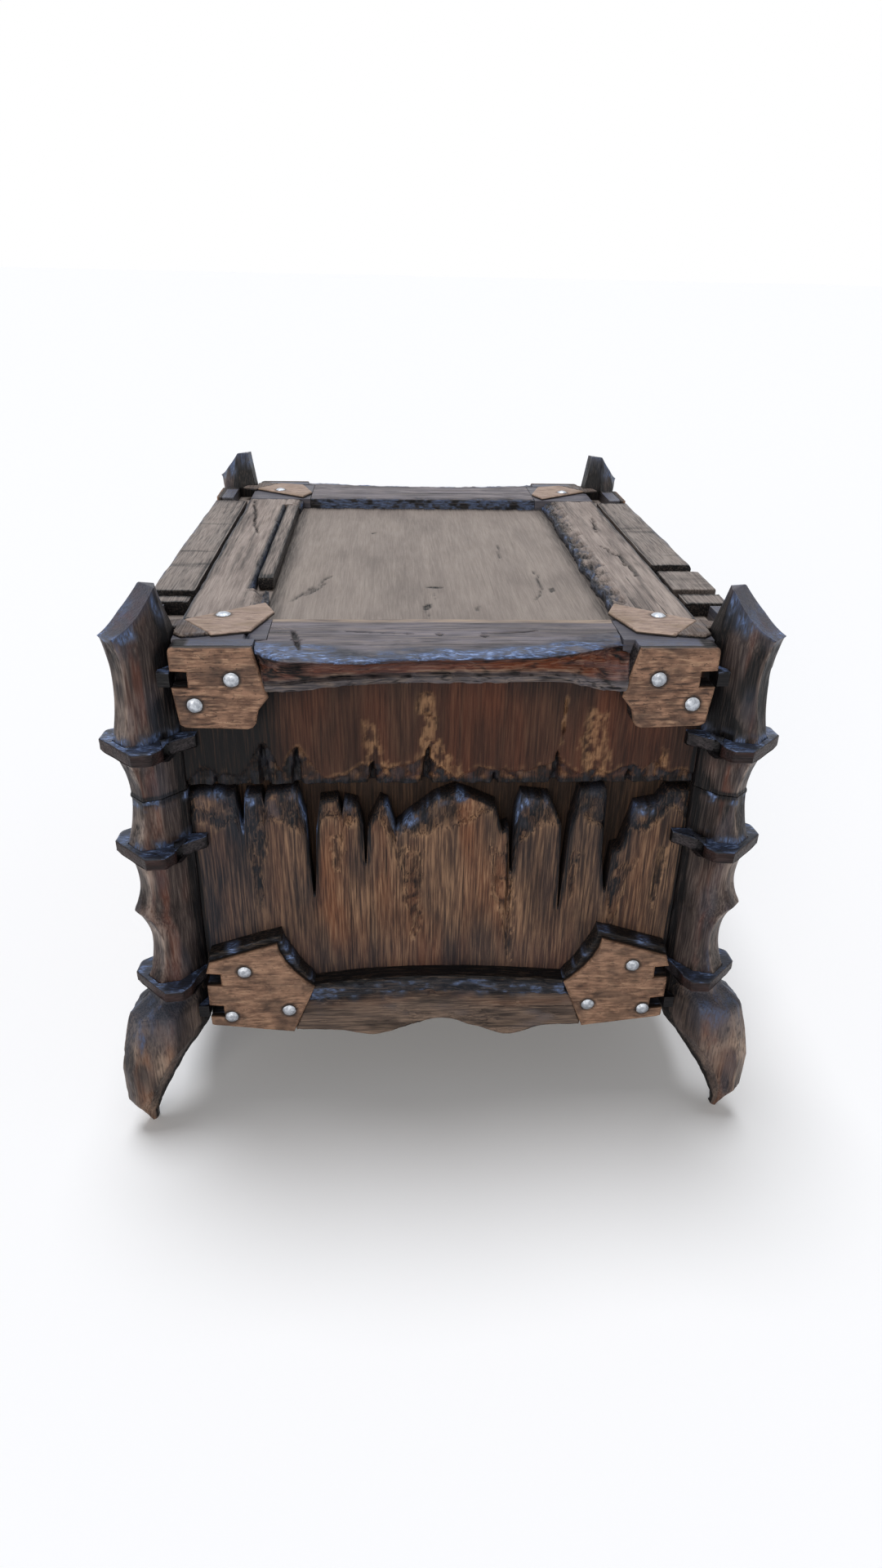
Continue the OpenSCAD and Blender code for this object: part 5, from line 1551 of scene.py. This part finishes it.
# Front and rear edges of the corner plates and leaves, from the inner corner of the post: (a, b)
PLATE_FRONT = [(-35, -18.5), (-30.5, -30), (-2, -9)]
PLATE_REAR = [(-35, -18.4), (-28.5, 3), (-14.5, 7.5), (-2, -8.9)]
LEAF_FRONT = [(-13.4, 6.4), (-1, -10), (7, -6.1)]
LEAF_REAR = [(-13.4, 6.5), (-4, 9), (-0.6, 6), (-0.5, -0.6), (5, -0.6), (7, -6)]
PLATE_RIVET = (-16, -14)
PLATE_T = 1.5


def corner_sheet(corner, front, rear, seed):
    """Thin sheet lying on the lid at a corner, between two edges."""
    knots = sorted(set(a for a, _ in front + rear))
    shape = board([(a, 0) for a in knots], between(front), between(rear), step=0.9, rows=30)
    a, b, depth = shape.a, shape.b, shape.depth
    away = np.minimum(far_from(a, b, front), far_from(a, b, rear))
    dents = rough(xyz(a, b), (3, 3, 9), 3, seed)
    fall = 0.12 * (1 + dents) + rounding(away, 0.6)
    shape.p = on_corner(corner, a, b, LID_TOP_Z + PLATE_T * (1 - depth) - (1 - depth) * fall)
    # ring is painted shadow round the rivet
    ring = ramp(np.hypot(a - PLATE_RIVET[0], b - PLATE_RIVET[1]), *RIVET_SHADOW_RING)
    shape.mark(char=0.95 * ramp(depth, 0.1, 0.5) + 0.7 * ring,
               rub=0.4 * ramp(away, 1.8, 0.4) * (1 - depth) + 0.3 * ramp(dents, 0.1, 0.5))
    return shape


def corner_plates(wood):
    """Riveted plates on the corners of the lid."""
    shapes = [corner_sheet(corner, PLATE_FRONT, PLATE_REAR, seed_of("plate", corner)) for corner in CORNERS]
    return finish_piece("corner_plates_brushed", "lid", wood, shapes, ["corner_plates"])


def corner_leaves(wood):
    """Dark leaves between the corner plates and the horns."""
    shapes = [corner_sheet(corner, LEAF_FRONT, LEAF_REAR, seed_of("leaf", corner)) for corner in CORNERS]
    seed = seed_of("leaf") + 10
    for shape in shapes:
        cloud = rough(shape.p, (5, 5, 5), 3, seed)
        painted_gloss = ramp(rough(shape.p, (4, 4, 4), 2, seed + 1), 0, 0.4)
        # Painted sheen in patches
        shape.mark(char=0.4 + 0.3 * cloud, rust=0.5 + 0 * shape.a, glint=0.25 * painted_gloss)
    return finish_piece("corner_leaves_brushed", "lid", wood, shapes, ["corner_leaves"])


# ---- Rivets ------------------------------------------------------------------------------------------

def rivet_head(place, outward, seed):
    """Low domed head, hammered a little out of round."""
    bm = bmesh.new()
    bmesh.ops.create_uvsphere(bm, u_segments=28, v_segments=16, radius=1)
    shape = Shape(bm)
    x, y, z = shape.p.T
    dome = np.where(z > 0, RIVET_H * (1 - np.hypot(x, y) ** 3.2), 0.02 * z)
    local = xyz(RIVET_R * x, RIVET_R * y, dome)
    local[:, :2] *= 1 - 0.07 * (1 + rough(local * (1, 1, 0) + 5 * seed, (2.4, 2.4, 3), 2, seed))[:, None]
    local[:, 2] -= 0.1 * np.clip(rough(local + seed, (1.6, 1.6, 3), 2, seed), 0, 1) * (z > 0.2)
    turn = np.array(Vector((0, 0, 1)).rotation_difference(Vector(outward)).to_matrix())
    shape.p = local @ turn.T + np.array(place)
    return shape


OUTWARD = {"front": (0, -1, 0), "rear": (0, 1, 0), "left": (-1, 0, 0), "right": (1, 0, 0)}


def side_rivets(level):
    """Rivet heads on all the bracket plates of one level."""
    up, *_, rivets_on_plate = BRACKETS[level]
    shapes = []
    for side in SIDES:
        for end in (-1, 1):
            for u, h in rivets_on_plate:
                place = on_side(side, end * (HALF[side] - u), RAIL_OUT, up + h)
                shapes.append(rivet_head(place.ravel(), OUTWARD[side], len(shapes)))
    return shapes


def rivets(metal):
    """All rivets of the base, and all of the lid with those of its corner plates."""
    top = side_rivets("top")
    for corner in CORNERS:
        place = on_corner(corner, PLATE_RIVET[0], PLATE_RIVET[1], LID_TOP_Z + PLATE_T - 0.02)
        top.append(rivet_head(place.ravel(), (0, 0, 1), len(top)))
    finish_piece("base_rivets_hammered", "base", metal, side_rivets("low"), ["base_rivets"])
    finish_piece("lid_rivets_hammered", "lid", metal, top, ["lid_rivets"])


# ---- The whole box -----------------------------------------------------------------------------------

# Frame parts that stay as they are, under the finish that each gets
KEPT = {
    "liner": ["liner_front", "liner_rear", "liner_left", "liner_right", "base_floor"],
    "field": ["lid_board"],
    "steel": ["bolt_keeper", "keeper_screws", "lath_bolt", "lath_pins", "side_slider_key"],
}
# Way that the grain of the rails and brackets runs on each side
RUN = {"front": "X", "rear": "X", "left": "Y", "right": "Y"}


def dress_sides(wood):
    """Panels, rails, beams, frame boards and brackets."""
    bracket = {axis: bracket_wood(f"copper_stained_ply_{axis.lower()}", axis, COPPER) for axis in "XY"}
    for side in SIDES:
        base_panel(side, wood["panel", "Z"])
        lid_panel(side, wood["lid_panel", "Z"])
        bottom_rail(side, wood["rail", RUN[side]])
        bracket_plates(side, "low", bracket[RUN[side]])
        bracket_plates(side, "top", bracket[RUN[side]])
    for side in ("front", "rear"):
        top_beam(side, wood["beam", "X"])
    for side in ("left", "right"):
        side_rail(side, wood["side_rail", "Y"])
        lid_frame(side, wood["top", "Y"])


def dress_corners(wood):
    """Posts, horns, claws, collars and pegs."""
    for corner in CORNERS:
        base_post(corner, wood["post", "Z"])
        horn(corner, wood["post", "Z"])
        claw(corner, wood["claw", "Z"])
    for level in COLLARS:
        collars(level, wood["collar", "X"])
    reach = PANEL_T + POST_FLARE
    pegs("base", LOW_BRACKET_Z + 5, (13, 33), wood["collar", "X"])
    pegs("lid", LID_TOP_Z - 9 - NOTCH_H, (0.4 * reach, reach - 2), wood["collar", "X"])


def dress_top(wood):
    """Sunken field, sliders, and the plates and leaves at the corners of the lid."""
    lid_field(wood["field", "Y"])
    slider_lath(wood["top", "Y"])
    side_slider(wood["side_rail", "Y"])
    corner_plates(bracket_wood("buff_stained_ply", "X", BUFF))
    corner_leaves(wood["side_rail", "Y"])


def finish_kept(finishes):
    """Gives the parts that stay as they are their own finishes."""
    for finish, nodes in KEPT.items():
        for node in nodes:
            mesh = bpy.data.objects[node].data
            mesh.materials.clear()
            mesh.materials.append(finishes[finish])


def dress_box():
    """Makes every piece of the box."""
    wood = woods()
    dress_sides(wood)
    dress_corners(wood)
    dress_top(wood)
    rivets(hammered_aluminium())
    finish_kept({"liner": wood["liner", "Z"], "field": wood["field", "Y"], "steel": filed_steel()})


# ---- Camera, light and floor -------------------------------------------------------------------------

# Camera: its place, how far it is turned to the right, down and clockwise in degrees, its lens, and the
# nearest and farthest that it sees
CAMERA_AT = (-22.21, -478.53, 342.23)
YAW, PITCH, ROLL = 3.594, 28.271, 1.280
LENS, SENSOR = 22.10, 36
NEAREST, FARTHEST = 10, 50000


def set_camera():
    """Camera in front of the box, looking down on it, turned and rolled a little."""
    yaw, pitch, roll = (math.radians(angle) for angle in (YAW, PITCH, ROLL))
    ahead = Vector((math.sin(yaw) * math.cos(pitch), math.cos(yaw) * math.cos(pitch), -math.sin(pitch)))
    level = Vector((math.cos(yaw), -math.sin(yaw), 0))
    upright = level.cross(ahead)
    right = math.cos(roll) * level + math.sin(roll) * upright
    up = math.cos(roll) * upright - math.sin(roll) * level
    data = bpy.data.cameras.new("camera")
    data.sensor_width = SENSOR
    data.lens = LENS
    data.clip_start, data.clip_end = NEAREST * MM, FARTHEST * MM
    camera = bpy.data.objects.new("camera", data)
    bpy.context.scene.collection.objects.link(camera)
    turn = Matrix((right, up, -ahead)).transposed().to_4x4()
    camera.matrix_world = Matrix.Translation(Vector(CAMERA_AT) * MM) @ turn
    bpy.context.scene.camera = camera


# Height of the lamps, which shine the same from anywhere
LAMP_Z = 2000


def add_sun(name, ahead, strength, colour, spread):
    """A far lamp that shines along ahead, from a round patch spread degrees wide."""
    data = bpy.data.lights.new(name, "SUN")
    data.energy = strength
    data.color = srgb(colour)[:3]
    data.angle = math.radians(spread)
    lamp = bpy.data.objects.new(name, data)
    bpy.context.scene.collection.objects.link(lamp)
    lamp.location = (0, 0, LAMP_Z * MM)
    lamp.rotation_mode = "QUATERNION"
    lamp.rotation_quaternion = Vector(ahead).to_track_quat("-Z", "Y")


# Shares of the plain level that the sky above, the room and the front window give
SKY, ROOM, WINDOW = 0.74, 0.20, 0.44
# How far the sky leans to the rear, how wide the sky and the window look, and where the window shines
SKY_TILT = 13
SKY_SPREAD, WINDOW_SPREAD = 29, 40
WINDOW_AHEAD = (0.30, 0.95, -0.22)
# Glow that lifts the paper on the floor to plain white beyond the shadow
PAPER_GLOW = 0.085
# Half the width of the floor, and how far it lies below the claws
FLOOR_HALF, FLOOR_DROP = 40000, 0.2


def set_light():
    """A wide soft sky above and behind the box, a white room, and a low window in front."""
    tilt = math.radians(SKY_TILT)
    sky_ahead = (0.08, -math.sin(tilt), -math.cos(tilt))
    add_sun("soft_sky", sky_ahead, SKY * math.pi / math.cos(tilt), "#f4f8ff", SKY_SPREAD)
    add_sun("front_window", WINDOW_AHEAD, WINDOW * math.pi, "#fffaf4", WINDOW_SPREAD)
    world = bpy.data.worlds.new("white_room")
    bpy.context.scene.world = world
    world.use_nodes = True
    tree = world.node_tree
    tree.nodes.clear()
    camera_ray = add(tree, "ShaderNodeLightPath", out="Is Camera Ray")
    glossy_ray = add(tree, "ShaderNodeLightPath", out="Is Glossy Ray")
    seen = add(tree, "ShaderNodeMath", {0: camera_ray, 1: glossy_ray}, operation="MAXIMUM")
    shown = add(tree, "ShaderNodeBackground", {"Color": srgb("#ffffff"), "Strength": 1.0})
    lit = add(tree, "ShaderNodeBackground", {"Color": srgb("#f2f6ff"), "Strength": ROOM})
    mixed = add(tree, "ShaderNodeMixShader", {0: seen, 1: lit, 2: shown})
    add(tree, "ShaderNodeOutputWorld", {"Surface": mixed})


def lay_floor():
    """White floor that takes the box's shadow and fades into the white room."""
    material, tree = new_material("white_floor_paper")
    camera_ray = add(tree, "ShaderNodeLightPath", out="Is Camera Ray")
    paper = add(tree, "ShaderNodeBsdfDiffuse", {"Color": srgb("#f9f7f4")})
    glow = add(tree, "ShaderNodeEmission", {"Color": srgb("#ffffff"), "Strength": PAPER_GLOW})
    lifted = add(tree, "ShaderNodeAddShader", {0: paper, 1: glow})
    mixed = add(tree, "ShaderNodeMixShader", {0: camera_ray, 1: paper, 2: lifted})
    add(tree, "ShaderNodeOutputMaterial", {"Surface": mixed})
    bm = bmesh.new()
    bmesh.ops.create_grid(bm, x_segments=1, y_segments=1, size=FLOOR_HALF * MM)
    mesh = bpy.data.meshes.new("floor")
    bm.to_mesh(mesh)
    bm.free()
    mesh.materials.append(material)
    floor = bpy.data.objects.new("floor", mesh)
    bpy.context.scene.collection.objects.link(floor)
    floor.location = (0, 0, -FLOOR_DROP * MM)


dress_box()
set_camera()
set_light()
lay_floor()
bpy.context.scene.view_settings.view_transform = "Standard"
